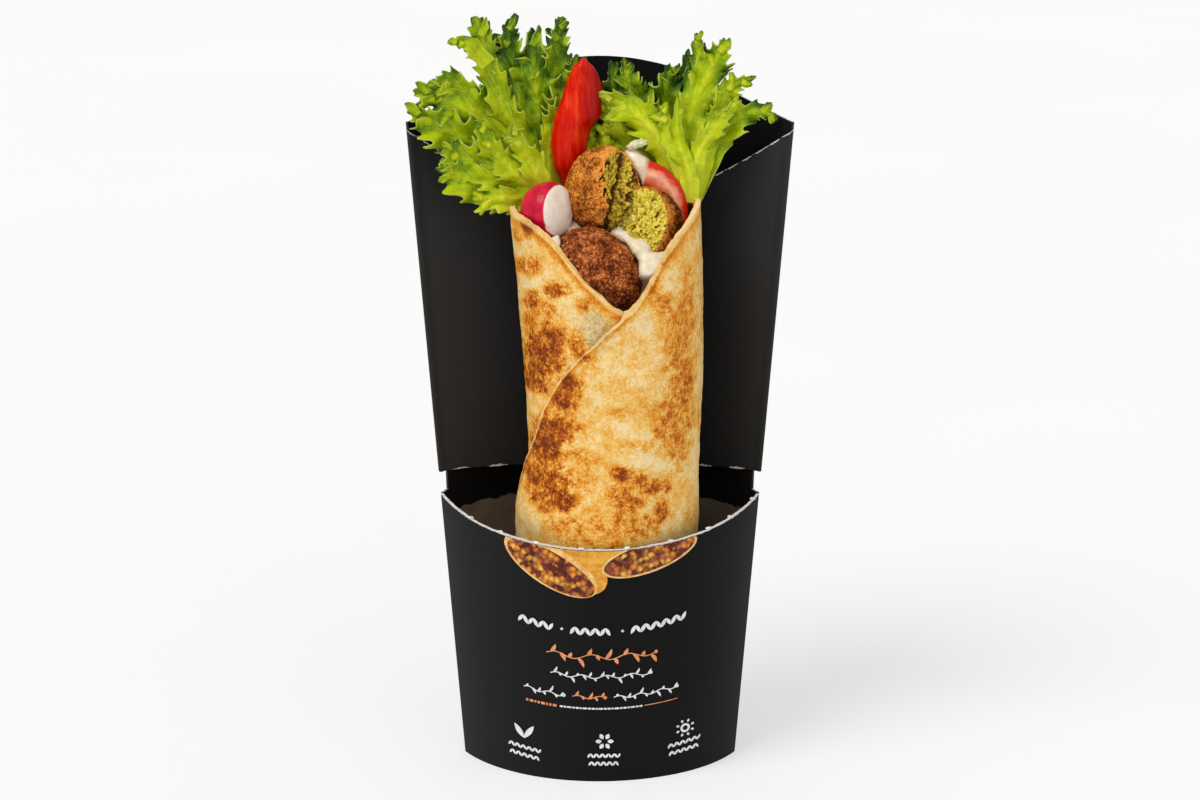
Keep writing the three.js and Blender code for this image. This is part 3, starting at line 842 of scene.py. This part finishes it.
def damp(x, y, z):
    sx, sz, wide, tall = DAMP
    near = math.hypot((x - sx) / wide, (z - sz) / tall) + 0.7 * rough(x, z, 5, 2.6, 3)
    return 0.62 * (1 - smooth(near, 0.3, 1.1)) if y < -20 else 0


tortilla = bent_sheet("rolled_tortilla", 288, 168, tortilla_place, "from_rim")
tortilla.data.materials.append(toasted)
finish_modifier(tortilla, "WELD", merge_threshold=0.01 * MM)
thicken(tortilla, SHEET)
mark(tortilla, "scorch", scorch)
mark(tortilla, "damp", damp)
rounded_shading(tortilla, 60)
settle(tortilla, "tortilla", "tortilla")

# ---- Sauce ----
# Thick white yoghurt sauce with flecks of herbs fills the roll, closes round the falafels and stands up in a
# smear between them.
creamy = start_finish("creamy_sauce", Roughness=0.28, Specular_IOR_Level=0.45)
herb = add(creamy, "TexVoronoi", add(creamy, "TexCoord", output=3), None, 1 / (3.4 * MM))
cream_tone = ramp(creamy, grainy(creamy, 5, 3), [(0.3, (0.74, 0.62, 0.4)), (0.65, (0.88, 0.8, 0.62))])
cream_tone = blend(creamy, steps(creamy, herb, 0.06, 0.1, 1.0, 0.0), cream_tone, (0.22, 0.26, 0.04, 1))
coat(creamy, cream_tone, None, grainy(creamy, 2.4, 4), 0.5)


def node_copy(node, name):
    """A merged copy of a CAD node's mesh, to be refined."""
    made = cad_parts[node].copy()
    made.data = made.data.copy()
    made.parent = None
    for key in list(made.keys()):
        del made[key]
    made.name = made.data.name = name
    scene.collection.objects.link(made)
    pick(made)
    made.data.materials.clear()
    bpy.ops.object.mode_set(mode="EDIT")
    bpy.ops.mesh.select_all(action="SELECT")
    bpy.ops.mesh.remove_doubles(threshold=0.002 * MM)
    bpy.ops.object.mode_set(mode="OBJECT")
    return made


sauce = node_copy("sauce", "yoghurt_sauce")
finish_modifier(sauce, "REMESH", mode="VOXEL", voxel_size=1.1 * MM)
finish_modifier(sauce, "SMOOTH", factor=0.6, iterations=6)
grown = [vertex.normal * MM for vertex in sauce.data.vertices]
for vertex, outwards in zip(sauce.data.vertices, grown):
    x, y, z = vertex.co / MM
    shown = smooth(z, 160, 166)
    vertex.co += outwards * shown * (0.9 + 0.7 * rough(x, y, z, 5, 3))
    # At the foot of the V the sauce stays back, which leaves a dark gap there.
    vertex.co.y += (
        13 * MM * smooth(x, -6, 1) * (1 - smooth(z, 174, 181))
        * smooth(z, 158, 164) * (1 - smooth(y, -16, -4))
    )
    vertex.co.z -= 7 * MM * smooth(x, 21, 25) * smooth(z, 186, 192)
    vertex.co.x += 0.3 * MM * (214 - z) * smooth(z, 199, 205)
sauce.data.materials.append(creamy)
rounded_shading(sauce, 80)
settle(sauce, "sauce", "sauce")

# ---- Falafels ----
# Balls of coarsely ground chickpeas and herbs, fried until the crust is dark and craggy. One is whole, one is
# broken open, and one is cut in half and shows its yellow-green crumb.


def fried_ball(name, centre, radii, tilt=0.0, cuts=(), level=7, crag=0.55, edge=(0.25, 1.1), crack=None):
    """A ball with a rough crust. Each cut is (direction, distance from the centre, roughness). edge says how
    far under the crust the inside starts to show. crack(point) gives a cut's crack there and its bulge."""
    made = start_piece(name, bpy.ops.mesh.primitive_ico_sphere_add, subdivisions=level, radius=1)
    back_turn = Quaternion((0, 1, 0), math.radians(tilt)).inverted()
    opened, hollow_shade, singe = (
        made.data.attributes.new(key, "FLOAT", "POINT") for key in ("opened", "hollow_shade", "singe")
    )
    offset = Vector(centre)
    for i, vertex in enumerate(made.data.vertices):
        way = vertex.co.normalized()
        local = back_turn @ way
        round_reach = 1 / Vector((local.x / radii[0], local.y / radii[1], local.z / radii[2])).length
        spot = way * round_reach + offset
        grit, fine_grit = noise.voronoi(spot / 1.7)[0][0], noise.voronoi(spot / 0.85)[0][0]
        crust = crag * (0.6 * rough(*spot, 5, 2) + 0.9 * (0.45 - grit) + 0.8 * (0.45 - fine_grit))
        reach = round_reach + crust
        # The hollow value is painted shade: it is high in the crust's hollows and, on a cut, in the crumb's
        # cracks and pits.
        open_here, deep, fried = 0.0, clamp(0.5 - crust / max(crag, 0.01) * 0.55), 1.0
        for toward, distance, coarse in cuts:
            facing = way.dot(Vector(toward).normalized())
            fried = min(fried, clamp((distance - facing * round_reach) / 5.5))
            if facing <= 0.05:
                continue
            face = way * (distance / facing) + offset
            grain, fine_grain = noise.voronoi(face / 1.35)[0][0], noise.voronoi(face / 0.8)[0][0]
            gap, bulge = smooth(rough(*face, 3.4, 3), 0.3, 0.7), 0
            if crack:
                torn_open, bulge = crack(face)
                gap = max(gap, torn_open)
            relief = bulge + coarse * (1.1 * (0.45 - grain) + 0.5 * (0.45 - fine_grain) - 1.8 * gap)
            limit = (distance + relief) / facing
            if limit < reach:
                open_here = max(open_here, smooth(round_reach - limit, *edge))
                deep = clamp(0.5 * grain + 0.3 * fine_grain + gap)
                reach = limit
        vertex.co = (way * reach + offset) * MM
        opened.data[i].value = open_here
        hollow_shade.data[i].value = deep
        singe.data[i].value = fried
    return made


def falafel_finish(name, dark, mid, light, crumbs):
    """Fried crust, paler beside a cut, and the crumb that shows in the cut, each painted darker in its hollows
    and cracks as painted shade.
    """
    made = start_finish(name, Specular_IOR_Level=0.08)
    hollow_shade = marked(made, "hollow_shade")
    coarse = grainy(made, 1.0, 3, 0.8)
    fine = grainy(made, 0.45, 2, 0.6)
    # Painted shade: the crust and the crumb are darker where the hollow value is high.
    tone = summed(
        made, coarse, steps(made, hollow_shade, 0.2, 0.9, 0.2, -0.26), steps(made, fine, 0.35, 0.65, -0.15, 0.15),
        steps(made, marked(made, "singe"), 0.0, 0.6, 0.28, 0.0),
    )
    crust = ramp(made, tone, [(0.28, dark), (0.5, mid), (0.76, light)])
    crumb_tone = summed(
        made, coarse, steps(made, hollow_shade, 0.1, 0.8, 0.24, -0.36), steps(made, fine, 0.35, 0.65, -0.08, 0.08)
    )
    crumb = ramp(made, crumb_tone, list(zip((0.1, 0.3, 0.48, 0.62, 0.78), crumbs)))
    colour = blend(made, steps(made, marked(made, "opened"), 0.35, 0.6), crust, crumb)
    return coat(made, colour, steps(made, coarse, 0.3, 0.7, 0.5, 0.75), blend(made, 0.5, coarse, fine), 0.5)


YELLOW_CRUMB = (
    (0.14, 0.075, 0.008), (0.38, 0.25, 0.02), (0.7, 0.54, 0.045), (0.86, 0.73, 0.12), (0.95, 0.87, 0.34),
)
GREEN_CRUMB = (
    (0.07, 0.025, 0.006), (0.22, 0.11, 0.012), (0.56, 0.38, 0.028), (0.76, 0.58, 0.06), (0.86, 0.75, 0.2),
)
dark_crust = falafel_finish(
    "dark_crust", (0.075, 0.014, 0.003), (0.3, 0.066, 0.012), (0.74, 0.25, 0.07), YELLOW_CRUMB
)
gold_crust = falafel_finish(
    "gold_crust", (0.15, 0.038, 0.006), (0.5, 0.145, 0.015), (0.86, 0.36, 0.06), GREEN_CRUMB
)
burnt_crust = falafel_finish(
    "burnt_crust", (0.04, 0.01, 0.003), (0.19, 0.046, 0.01), (0.55, 0.19, 0.025), YELLOW_CRUMB
)


def broken_crack(at):
    """The broken falafel gapes along a slanting line across its open side."""
    off_line = 0.971 * (at.x - 6.8) - 0.245 * (at.z - 213.8) + 1.1 * rough(*at, 4, 2)
    pits = 0.6 * smooth(rough(at.x, at.z, 9, 2.2, 2), 0.05, 0.4) * smooth(off_line, 1, 4)
    return max(0.6 * math.exp(-((off_line / 0.7) ** 2)), pits), 2.2 * smooth(off_line, 0, 4)


falafel_whole = fried_ball("whole_falafel", (-0.5, -15.8, 180.2), (16.8, 13.6, 12.4), 46, crag=0.75)
falafel_broken = fried_ball(
    "broken_falafel", (1, -1.6, 205.4), (12.9, 11.6, 15), 8,
    [((0.8, -0.56, 0.2), 7.2, 1.1), ((0.72, -0.5, -0.48), 9.2, 0.9)], crack=broken_crack
)
falafel_half = fried_ball(
    "halved_falafel", (15.2, -6, 193.3), (13.4, 12.2, 13.9), 0, [((-0.56, -0.76, 0.34), 3.8, 0.8)]
)
for ball, finish, slot_name, node in (
    (falafel_whole, dark_crust, "falafel_crust", "falafel_whole"),
    (falafel_broken, gold_crust, "falafel_crust", "falafel_broken"),
    (falafel_half, burnt_crust, "falafel_crumb", "falafel_half"),
):
    ball.data.materials.append(finish)
    rounded_shading(ball, 180)
    settle(ball, slot_name, node)

# ---- Radish ----
# Half a small radish with a smooth magenta skin and a crisp white cut face with a pink rim.
RADISH_CENTRE, RADISH_RADIUS = Vector((-17.4, -9.8, 199.8)), 9.7
RADISH_CUT, RADISH_CUT_AT = Vector((0.82, -0.57, 0.08)).normalized(), 3.4
RADISH_FACE = math.sqrt(RADISH_RADIUS ** 2 - RADISH_CUT_AT ** 2)


def radish_dome(at):
    """The cut face swells a little in its middle."""
    off = (at - RADISH_CENTRE - RADISH_CUT * RADISH_CUT_AT).length / RADISH_FACE
    return 0, 1.7 * max(0.0, 1 - off * off)


radish = fried_ball(
    "radish_half", RADISH_CENTRE, (RADISH_RADIUS,) * 3, 0, [(RADISH_CUT, RADISH_CUT_AT, 0.04)], level=6,
    crag=0.08, edge=(0.0, 0.35), crack=radish_dome,
)
radish_skin = start_finish("radish_skin", Roughness=0.3, Specular_IOR_Level=0.25)
skin_grain, flesh_grain = grainy(radish_skin, 4, 3), grainy(radish_skin, 3, 3)
skin_tone = ramp(radish_skin, skin_grain, [(0.3, (0.42, 0.0, 0.018)), (0.65, (0.7, 0.003, 0.05))])
flesh_tone = ramp(radish_skin, flesh_grain, [(0.3, (0.92, 0.75, 0.64)), (0.6, (0.98, 0.91, 0.79))])
cut_open = steps(radish_skin, marked(radish_skin, "opened"), 0.2, 0.95)
skin_tone = blend(radish_skin, cut_open, skin_tone, flesh_tone)
coat(radish_skin, skin_tone, None, grainy(radish_skin, 1.2), 0.12)
radish.data.materials.append(radish_skin)
rounded_shading(radish, 50)
settle(radish, "radish", "radish")

# ---- Tomato ----
# A tall wedge with its glossy skin to the front left, and a slice that stands against the right wall of the
# roll and shows its red skin and its pale flesh.
# Places given in the photograph, which is 1200 x 800 pixels, are turned into millimetres here.
PICTURE_MIDDLE = (600, 400)
SIDE_PER_PIXEL, UP_PER_PIXEL = 0.343, 0.355
DROP_PER_DEPTH = 0.268  # how much lower a point stands for each mm that it lies further back


def seen_at(px, py, y):
    """The sideways place and the height of a point that is seen at a pixel and lies at depth y."""
    x = (px - PICTURE_MIDDLE[0]) * SIDE_PER_PIXEL
    return x, look_at_height / MM + (PICTURE_MIDDLE[1] - py) * UP_PER_PIXEL - DROP_PER_DEPTH * y


# The wedge from its foot to its tip, in pixels: height in the picture, left edge and right edge.
WEDGE_SEEN = (
    (200, 565, 568), (190, 564, 571), (181, 562, 575), (169, 555.5, 580), (159, 553, 584),
    (149, 552, 586.5), (139, 552, 588), (129, 552.5, 591), (120, 553.5, 598), (114, 555, 602),
    (104, 559, 602), (90, 564, 603),
    (77, 569, 599), (67, 573, 593), (60, 578, 588), (57, 581, 585),
)
WEDGE_DEPTH = 9.3
WEDGE = []
for py, left, right in WEDGE_SEEN:
    wedge_x, wedge_z = seen_at((left + right) / 2, py, WEDGE_DEPTH)
    WEDGE.append((wedge_z, wedge_x, (right - left) / 2 * SIDE_PER_PIXEL))
wedge_middle, wedge_half = track(WEDGE), track(WEDGE, 2)


def wedge_place(angle, s):
    height = lerp(WEDGE[0][0], WEDGE[-1][0], 0.5 - 0.5 * math.cos(math.pi * s))
    spine = Vector((wedge_middle(height), lerp(10, 8.6, s), height))
    size = wedge_half(height) * min(1, 6 * s, 6 * (1 - s)) if s not in (0, 1) else 0
    a = math.radians(angle)
    back = max(0.0, -math.cos(a))
    across = math.sin(a) * (1 - 0.45 * back)
    return spine + Vector((size * across + size * 0.35 * back, -0.62 * size * math.cos(a), 0))


tomato_wedge = start_piece(
    "tomato_wedge_piece", bpy.ops.mesh.primitive_uv_sphere_add, segments=96, ring_count=90, radius=1
)
for vertex in tomato_wedge.data.vertices:
    x, y, z = vertex.co
    p = wedge_place(math.degrees(math.atan2(x, -y)), round(math.acos(clamp(-z, -1, 1)) / math.pi, 4))
    p.x += 0.35 * rough(*p, 9, 2)
    p.y += 0.25 * rough(*p, 7, 2)
    vertex.co = p * MM
TOMATO_GLOW = (0.004, 0.001, 0.0005)  # how far each colour of light spreads inside, in metres
tomato_skin = start_finish(
    "tomato_skin", Roughness=0.3, Specular_IOR_Level=0.12, Subsurface_Weight=0.12,
    Subsurface_Radius=TOMATO_GLOW,
)
# The pale streaks are partly the skin's own streaks and partly a painted highlight, and the skin is painted
# paler higher up as painted light.
streaks_and_highlight = grainy(tomato_skin, 2.2, 3, 0.6, stretch=(1, 1, 0.12))
paler_up = steps(tomato_skin, coordinate(tomato_skin, 2), 0.2, 0.245, -0.03, 0.05)
streaks_and_highlight = summed(tomato_skin, streaks_and_highlight, paler_up)
skin_red = ramp(tomato_skin, streaks_and_highlight, [
    (0.3, (0.42, 0.002, 0.0)), (0.5, (0.68, 0.008, 0.001)), (0.74, (0.86, 0.07, 0.01)),
])
in_shade = steps(tomato_skin, coordinate(tomato_skin, 0), -0.009, -0.001, 0.0, 0.75)
skin_red = blend(tomato_skin, in_shade, skin_red, (0.2, 0.003, 0.001, 1))
coat(tomato_skin, skin_red, None, streaks_and_highlight, 0.12)
tomato_wedge.data.materials.append(tomato_skin)
rounded_shading(tomato_wedge, 60)
settle(tomato_wedge, "tomato", "tomato_wedge")

SLICE_CENTRE = Vector((12.1, -0.6, 197.2))
SLICE_RADIUS, SLICE_INSIDE, SLICE_THICK = 18.1, 9, 5.4
tomato_slice = start_piece("tomato_slice_piece", bpy.ops.mesh.primitive_cube_add, size=2)
bpy.ops.object.mode_set(mode="EDIT")
bpy.ops.mesh.subdivide(number_cuts=44)
bpy.ops.object.mode_set(mode="OBJECT")
to_skin = tomato_slice.data.attributes.new("skin", "FLOAT", "POINT")
for i, vertex in enumerate(tomato_slice.data.vertices):
    a, b, c = vertex.co
    soften = 1 - 0.12 * (abs(b) ** 4)
    radius = lerp(SLICE_INSIDE, SLICE_RADIUS, (a * soften + 1) / 2)
    turn = math.radians(lerp(-14, 74, (c + 1) / 2))
    y = SLICE_CENTRE.y + SLICE_THICK * (0.5 + 0.5 * b * (1 - 0.1 * abs(a) ** 4))
    dent = 0.3 * rough(radius * math.cos(turn), y, radius * math.sin(turn), 4, 2)
    vertex.co = Vector((
        SLICE_CENTRE.x + radius * math.cos(turn), y + dent, SLICE_CENTRE.z + radius * math.sin(turn),
    )) * MM
    to_skin.data[i].value = (a + 1) / 2
flesh = start_finish(
    "tomato_flesh", Roughness=0.22, Specular_IOR_Level=0.35, Subsurface_Weight=0.1,
    Subsurface_Radius=TOMATO_GLOW,
)
flesh_wander = steps(flesh, grainy(flesh, 2.5, 4), 0.3, 0.7, -0.08, 0.08)
slice_tone = ramp(flesh, summed(flesh, marked(flesh, "skin"), flesh_wander), [
    (0.1, (0.6, 0.04, 0.012)), (0.4, (0.84, 0.2, 0.09)), (0.62, (0.98, 0.52, 0.34)),
    (0.8, (0.92, 0.24, 0.1)), (0.92, (0.64, 0.012, 0.004)),
])
coat(flesh, slice_tone, None, grainy(flesh, 1.4, 3), 0.3)
tomato_slice.data.materials.append(flesh)
rounded_shading(tomato_slice, 60)
settle(tomato_slice, "tomato", "tomato_slice")

# ---- Onion ----
# A small pale piece of onion that lies on top of the sauce.
onion = fried_ball("onion_piece", (12.7, 4.4, 219.9), (3.9, 2.6, 1.4), -14, level=5, crag=1.1)
onion_finish = start_finish("onion_flesh", Roughness=0.3, Specular_IOR_Level=0.5)
onion_grain = grainy(onion_finish, 1.6, 3)
coat(onion_finish, ramp(onion_finish, onion_grain, [(0.3, (0.5, 0.5, 0.22)), (0.6, (0.8, 0.76, 0.52))]))
onion.data.materials.append(onion_finish)
rounded_shading(onion, 180)
settle(onion, "onion", "onion_bit")

# ---- Lettuce ----
# Frilled green leaves, pushed into the mouth of the roll in two tufts. Each leaf is cut into fingers that
# branch from its foot like antlers. A pale rib runs up every finger, and its margins are toothed, ruffled
# and pale, partly by their own colour and partly by a painted highlight. Painted shade darkens the folds and
# the fingers that lie further back.
LEAF_THICK = 0.5
# For each leaf: a point of the plane it stands in, how far it leans forward for each mm to the side, and
# its fingers. A finger has its own depth in front of the plane, and its rib runs through places given in the
# photograph: two pixel coordinates and the half width in mm.
LEAVES = {
    "lettuce_left_back": ((-16, 14.6), 0.41, (
        (4, ((545, 180, 3.6), (524, 120, 5.4), (514, 70, 5.6), (508, 40, 3.6), (512, 17, 1))),
        (5, ((520, 90, 4.6), (503, 62, 3.7), (494, 34, 1.2))),
        (3, ((548, 180, 3.6), (540, 120, 6.4), (534, 70, 6.6), (531, 28, 1.6))),
        (3.5, ((552, 180, 3.6), (550, 120, 6), (556, 60, 4.4), (558, 34, 3), (562, 16, 2.2))),
        (2, ((556, 185, 3), (562, 130, 5.6), (568, 85, 5.2), (577, 53, 1.2))),
        (1.5, ((540, 185, 3.7), (505, 140, 7.1), (470, 112, 7.8), (440, 98, 6), (416, 93, 2.4))),
        (0.5, ((535, 188, 3.7), (495, 160, 6.4), (455, 135, 6.8), (428, 120, 5), (411, 113, 2.2))),
        (1, ((520, 150, 3.7), (480, 104, 5), (452, 84, 4), (436, 88, 1.5))),
        (-1, ((489, 66, 2.6), (478, 54, 2.6), (466, 46, 2), (452, 48, 0.8))),
        (0, ((549, 192, 2.8), (528, 150, 3.9), (506, 112, 4), (491, 74, 3.6), (483, 44, 4.2), (477, 21, 3.6))),
        (-2.5, ((552, 186, 2.4), (548, 150, 3.6), (556, 115, 3.6), (566, 90, 1.6))),
    )),
    "lettuce_left_front": ((-20, 4.5), 0.3, (
        (0.5, ((540, 190, 3), (500, 172, 6), (462, 158, 5.6), (446, 148, 2.2))),
        (0, ((548, 198, 3.2), (505, 190, 6), (475, 183, 6.4), (452, 172, 4.2), (444, 160, 1.8))),
        (-2, ((546, 200, 2.6), (520, 198, 4.4), (495, 198, 4.2), (474, 199, 2))),
        (-1, ((545, 194, 3), (515, 172, 5), (493, 150, 4.2), (476, 122, 1.2))),
        (-3, ((548, 196, 2.6), (535, 170, 4), (522, 148, 3.4), (510, 128, 1.2))),
    )),
    "lettuce_right_back": ((20, 13), 0.1, (
        (4, ((662, 185, 2.4), (645, 140, 4.6), (618, 100, 4.8), (611, 60, 1.2))),
        (5, ((684, 180, 2.4), (686, 120, 4.6), (688, 80, 4.2), (689, 47, 1.2))),
        (3, ((672, 180, 3), (668, 130, 6), (667, 90, 5.2), (670, 62, 1.2))),
        (2, ((668, 180, 3), (655, 140, 5.6), (640, 105, 5.6), (629, 82, 4), (624, 58, 1.2))),
        (0, ((664, 180, 2.4), (640, 150, 4.6), (618, 122, 4.6), (603, 104, 3.2), (592, 97, 1.2))),
        (1, ((655, 182, 2), (640, 160, 3.4), (622, 146, 3), (606, 140, 1.2))),
    )),
    "lettuce_right_front": ((25, 7), -0.12, (
        (1.5, ((695, 196, 2.6), (712, 150, 4.2), (732, 122, 4.6), (752, 112, 3), (768, 114, 2), (776, 121, 1))),
        (1, ((700, 100, 3.4), (700, 72, 3.4), (698, 50, 2), (695, 36, 0.8))),
        (-1, ((694, 200, 2.2), (706, 150, 3.6), (718, 112, 3.6), (732, 88, 3), (755, 80, 0.8))),
        (0, ((691, 200, 2.8), (684, 160, 5), (690, 115, 6.2), (706, 80, 5.4), (717, 58, 4.4), (724, 42, 2))),
        (-2, ((688, 196, 2.8), (668, 152, 5.2), (645, 122, 6), (622, 104, 4.6), (594, 95, 1.2))),
        (-3, ((690, 190, 2.2), (700, 150, 3.2), (722, 120, 2.4), (738, 98, 0.9))),
        (-3.5, ((688, 190, 2.2), (676, 150, 3.6), (667, 124, 2.8), (661, 106, 0.9))),
        (-4.5, ((692, 202, 2.2), (688, 170, 3.2), (678, 140, 2.8), (676, 98, 1.1))),
    )),
    "lettuce_bit": ((0.6, 13), 0.1, (
        (0, ((594, 175, 2), (594, 150, 3), (592, 135, 2.2), (588, 120, 1))),
        (-2, ((600, 172, 1.8), (606, 150, 2.7), (604, 134, 1.8), (603, 122, 0.8))),
    )),
}


def finger_rib(plane, lean, layer, seen):
    """The points of a finger's rib as (x, z, half width), from where they are seen."""
    rib = []
    for px, py, half in seen:
        y = plane[1] + lean * (seen_at(px, py, 0)[0] - plane[0]) + layer
        rib.append((*seen_at(px, py, y), half))
    return rib


def spine_point(points, t):
    """A smooth line through the points: (x, z, half width) at t from 0 to 1."""
    along = t * (len(points) - 1)
    i = min(int(along), len(points) - 2)
    f = along - i
    quad = [Vector(points[clamp(j, 0, len(points) - 1)]) for j in (i - 1, i, i + 1, i + 2)]
    slope_a, slope_b = (quad[2] - quad[0]) / 2, (quad[3] - quad[1]) / 2
    return (
        quad[1] + slope_a * f
        + (3 * (quad[2] - quad[1]) - 2 * slope_a - slope_b) * f ** 2
        + (2 * (quad[1] - quad[2]) + slope_a + slope_b) * f ** 3
    )


def leaf_finger(plane, lean, layer, points, seed, across=24):
    """One finger of a leaf: a sheet along its spine, folded along the rib, toothed and ruffled, with painted
    shade stored as its relief.
    """
    reach = sum(math.dist(points[i][:2], points[i + 1][:2]) for i in range(len(points) - 1))
    tooth = 5.2 + 1.6 * math.sin(5 * seed)

    def place(u, v):
        x, z, half = spine_point(points, v)
        ahead, behind = spine_point(points, min(1, v + 0.02)), spine_point(points, max(0, v - 0.02))
        way = Vector((ahead.x - behind.x, ahead.y - behind.y)).normalized()
        side = 2 * u - 1
        margin = abs(side)
        along = v * reach
        hand = seed + (10 if side > 0 else 0)
        grown = smooth(v, 0.1, 0.35)
        at_tooth = (along - 1.8 * margin) / tooth + 0.6 * rough(along, hand, 6, 9, 1) + hand
        point = (1 - abs(2 * (at_tooth % 1) - 1)) ** 1.7
        size = 0.75 + 0.5 * rough(round(at_tooth), hand, 2, 1.3, 1)
        lobes = grown * (
            0.5 * size * point - 0.2
            + 0.42 * rough(along, hand, 0, 8, 1) + 0.1 * rough(along, hand, 3, 1.7, 1)
        )
        half *= 1.1 * (1 + margin ** 2 * lobes)
        half *= math.sqrt(max(0.0, 1 - v ** 5))
        off = side * half
        hook = 0.5 * margin ** 3 * grown * half * point
        x += -way.y * off + way.x * hook
        z += way.x * off + way.y * hook
        fold = 0.44 * half * (margin ** 1.2 - 0.35) * math.sin(along / 8 + seed) - 0.1 * half
        ruffle = margin ** 2 * grown * (
            0.52 * half * math.sin(along / 2.3 + hand) + 0.12 * half * math.sin(along / 0.9 + 2 * hand)
        )
        blister = 0.7 * rough(x, z, seed, 4.4, 3) * grown
        sway = 1.6 * v * rough(along, seed, 20, 16, 1)
        rib = -0.6 * math.exp(-((off / 0.8) ** 2)) * (1 - 0.6 * v)
        y = plane[1] + lean * (x - plane[0]) + layer + fold + ruffle + blister + sway + rib
        # The stored relief is painted shade: it is lower where the finger lies further back, in its folds,
        # ruffles and blisters, and on the fingers of the back layers.
        return x, y, z, 0.61 - 0.085 * layer - (fold + ruffle + 0.9 * blister) / (0.9 * half + 1.6)

    return bent_sheet("finger", across, max(16, int(reach * 2.2)), place, "relief")


def twigs(points, seed):
    """Two small points that fork from a finger near its tip."""
    grown = []
    for i, (at, turn) in enumerate(((0.7, 40), (0.84, -36))):
        x, z, half = spine_point(points, at)
        ahead = spine_point(points, min(1, at + 0.05))
        way = math.atan2(ahead.y - z, ahead.x - x) + math.radians(turn + 14 * math.sin(seed + i))
        long = (1.15 * half + 1.8) * (0.9 + 0.35 * math.sin(3 * seed + i))
        thick = 0.44 + 0.13 * half
        grown.append(tuple(
            (x + long * f * math.cos(way + bend), z + long * f * math.sin(way + bend), wide * thick)
            for f, wide, bend in ((0, 1.1, 0), (0.45, 1.25, 0.05), (0.8, 0.95, 0.16), (1, 0.35, 0.24))
        ))
    return grown


leaf_green = start_finish(
    "leaf_green", Roughness=0.42, Specular_IOR_Level=0.18, Subsurface_Weight=0.3,
    Subsurface_Radius=(0.002, 0.003, 0.0003),
)
leaf_map = add(leaf_green, "UVMap", uv_map="UVMap")
leaf_across = add(leaf_green, "SeparateXYZ", leaf_map)
leaf_along = add(leaf_green, "SeparateXYZ", leaf_map, output=1)
off_rib = add(leaf_green, "Math", leaf_across, 0.5, operation="SUBTRACT")
off_rib = add(leaf_green, "Math", off_rib, operation="ABSOLUTE")
# Side veins climb away from the rib, so their pattern is read along a slanting line.
slant = add(leaf_green, "Math", off_rib, -0.55, leaf_along, operation="MULTIPLY_ADD")
vein_place = add(leaf_green, "CombineXYZ", off_rib, slant)
vein_place = add(leaf_green, "Mapping", vein_place, None, None, (2.2, 17, 1))
veins = add(leaf_green, "TexNoise", vein_place, None, 1.0, 3, 0.6)
blisters = grainy(leaf_green, 2.2, 4, 0.65)
fine_veins = grainy(leaf_green, 0.8, 3, 0.6)
rib_light = steps(leaf_green, off_rib, 0.0, 0.15, 0.17, 0.0)
bright = summed(
    leaf_green,
    steps(leaf_green, veins, 0.3, 0.7, 0.36, 0.62),
    steps(leaf_green, leaf_along, 0.1, 1.0, 0.22, -0.2),
    # Painted shade from the stored relief.
    steps(leaf_green, marked(leaf_green, "relief"), 0.1, 0.95, -0.52, 0.24),
    steps(leaf_green, blisters, 0.34, 0.66, -0.05, 0.05),
    steps(leaf_green, fine_veins, 0.34, 0.66, -0.06, 0.06),
    rib_light,
)
leaf_tone = ramp(leaf_green, bright, [
    (0.04, (0.02, 0.06, 0.001)), (0.22, (0.07, 0.16, 0.001)), (0.4, (0.2, 0.32, 0.001)),
    (0.58, (0.36, 0.47, 0.002)), (0.76, (0.48, 0.57, 0.003)), (0.98, (0.64, 0.68, 0.03)),
])
# The margins are painted pale, partly as their own paler edge and partly as a painted highlight.
pale_margin_and_highlight = steps(leaf_green, off_rib, 0.478, 0.5, 0.0, 0.75)
leaf_tone = blend(leaf_green, pale_margin_and_highlight, leaf_tone, (0.4, 0.52, 0.1, 1))
coat(leaf_green, leaf_tone, None, blend(leaf_green, 0.5, veins, blisters), 0.7)

for number, (node, (plane, lean, seen_fingers)) in enumerate(LEAVES.items()):
    fingers = [(layer, finger_rib(plane, lean, layer, seen)) for layer, seen in seen_fingers]
    parts = [
        leaf_finger(plane, lean, layer, points, 7.3 * number + 2.1 * i)
        for i, (layer, points) in enumerate(fingers)
    ]
    parts += [
        leaf_finger(plane, lean, layer - 0.4, twig, 3.1 * number + 1.7 * i + j, 10)
        for i, (layer, points) in enumerate(fingers) for j, twig in enumerate(twigs(points, i + number))
    ]
    leaf = joined(parts, node + "_leaf")
    leaf.data.materials.append(leaf_green)
    thicken(leaf, LEAF_THICK)
    rounded_shading(leaf, 180)
    settle(leaf, "lettuce", node)

bpy.context.view_layer.update()
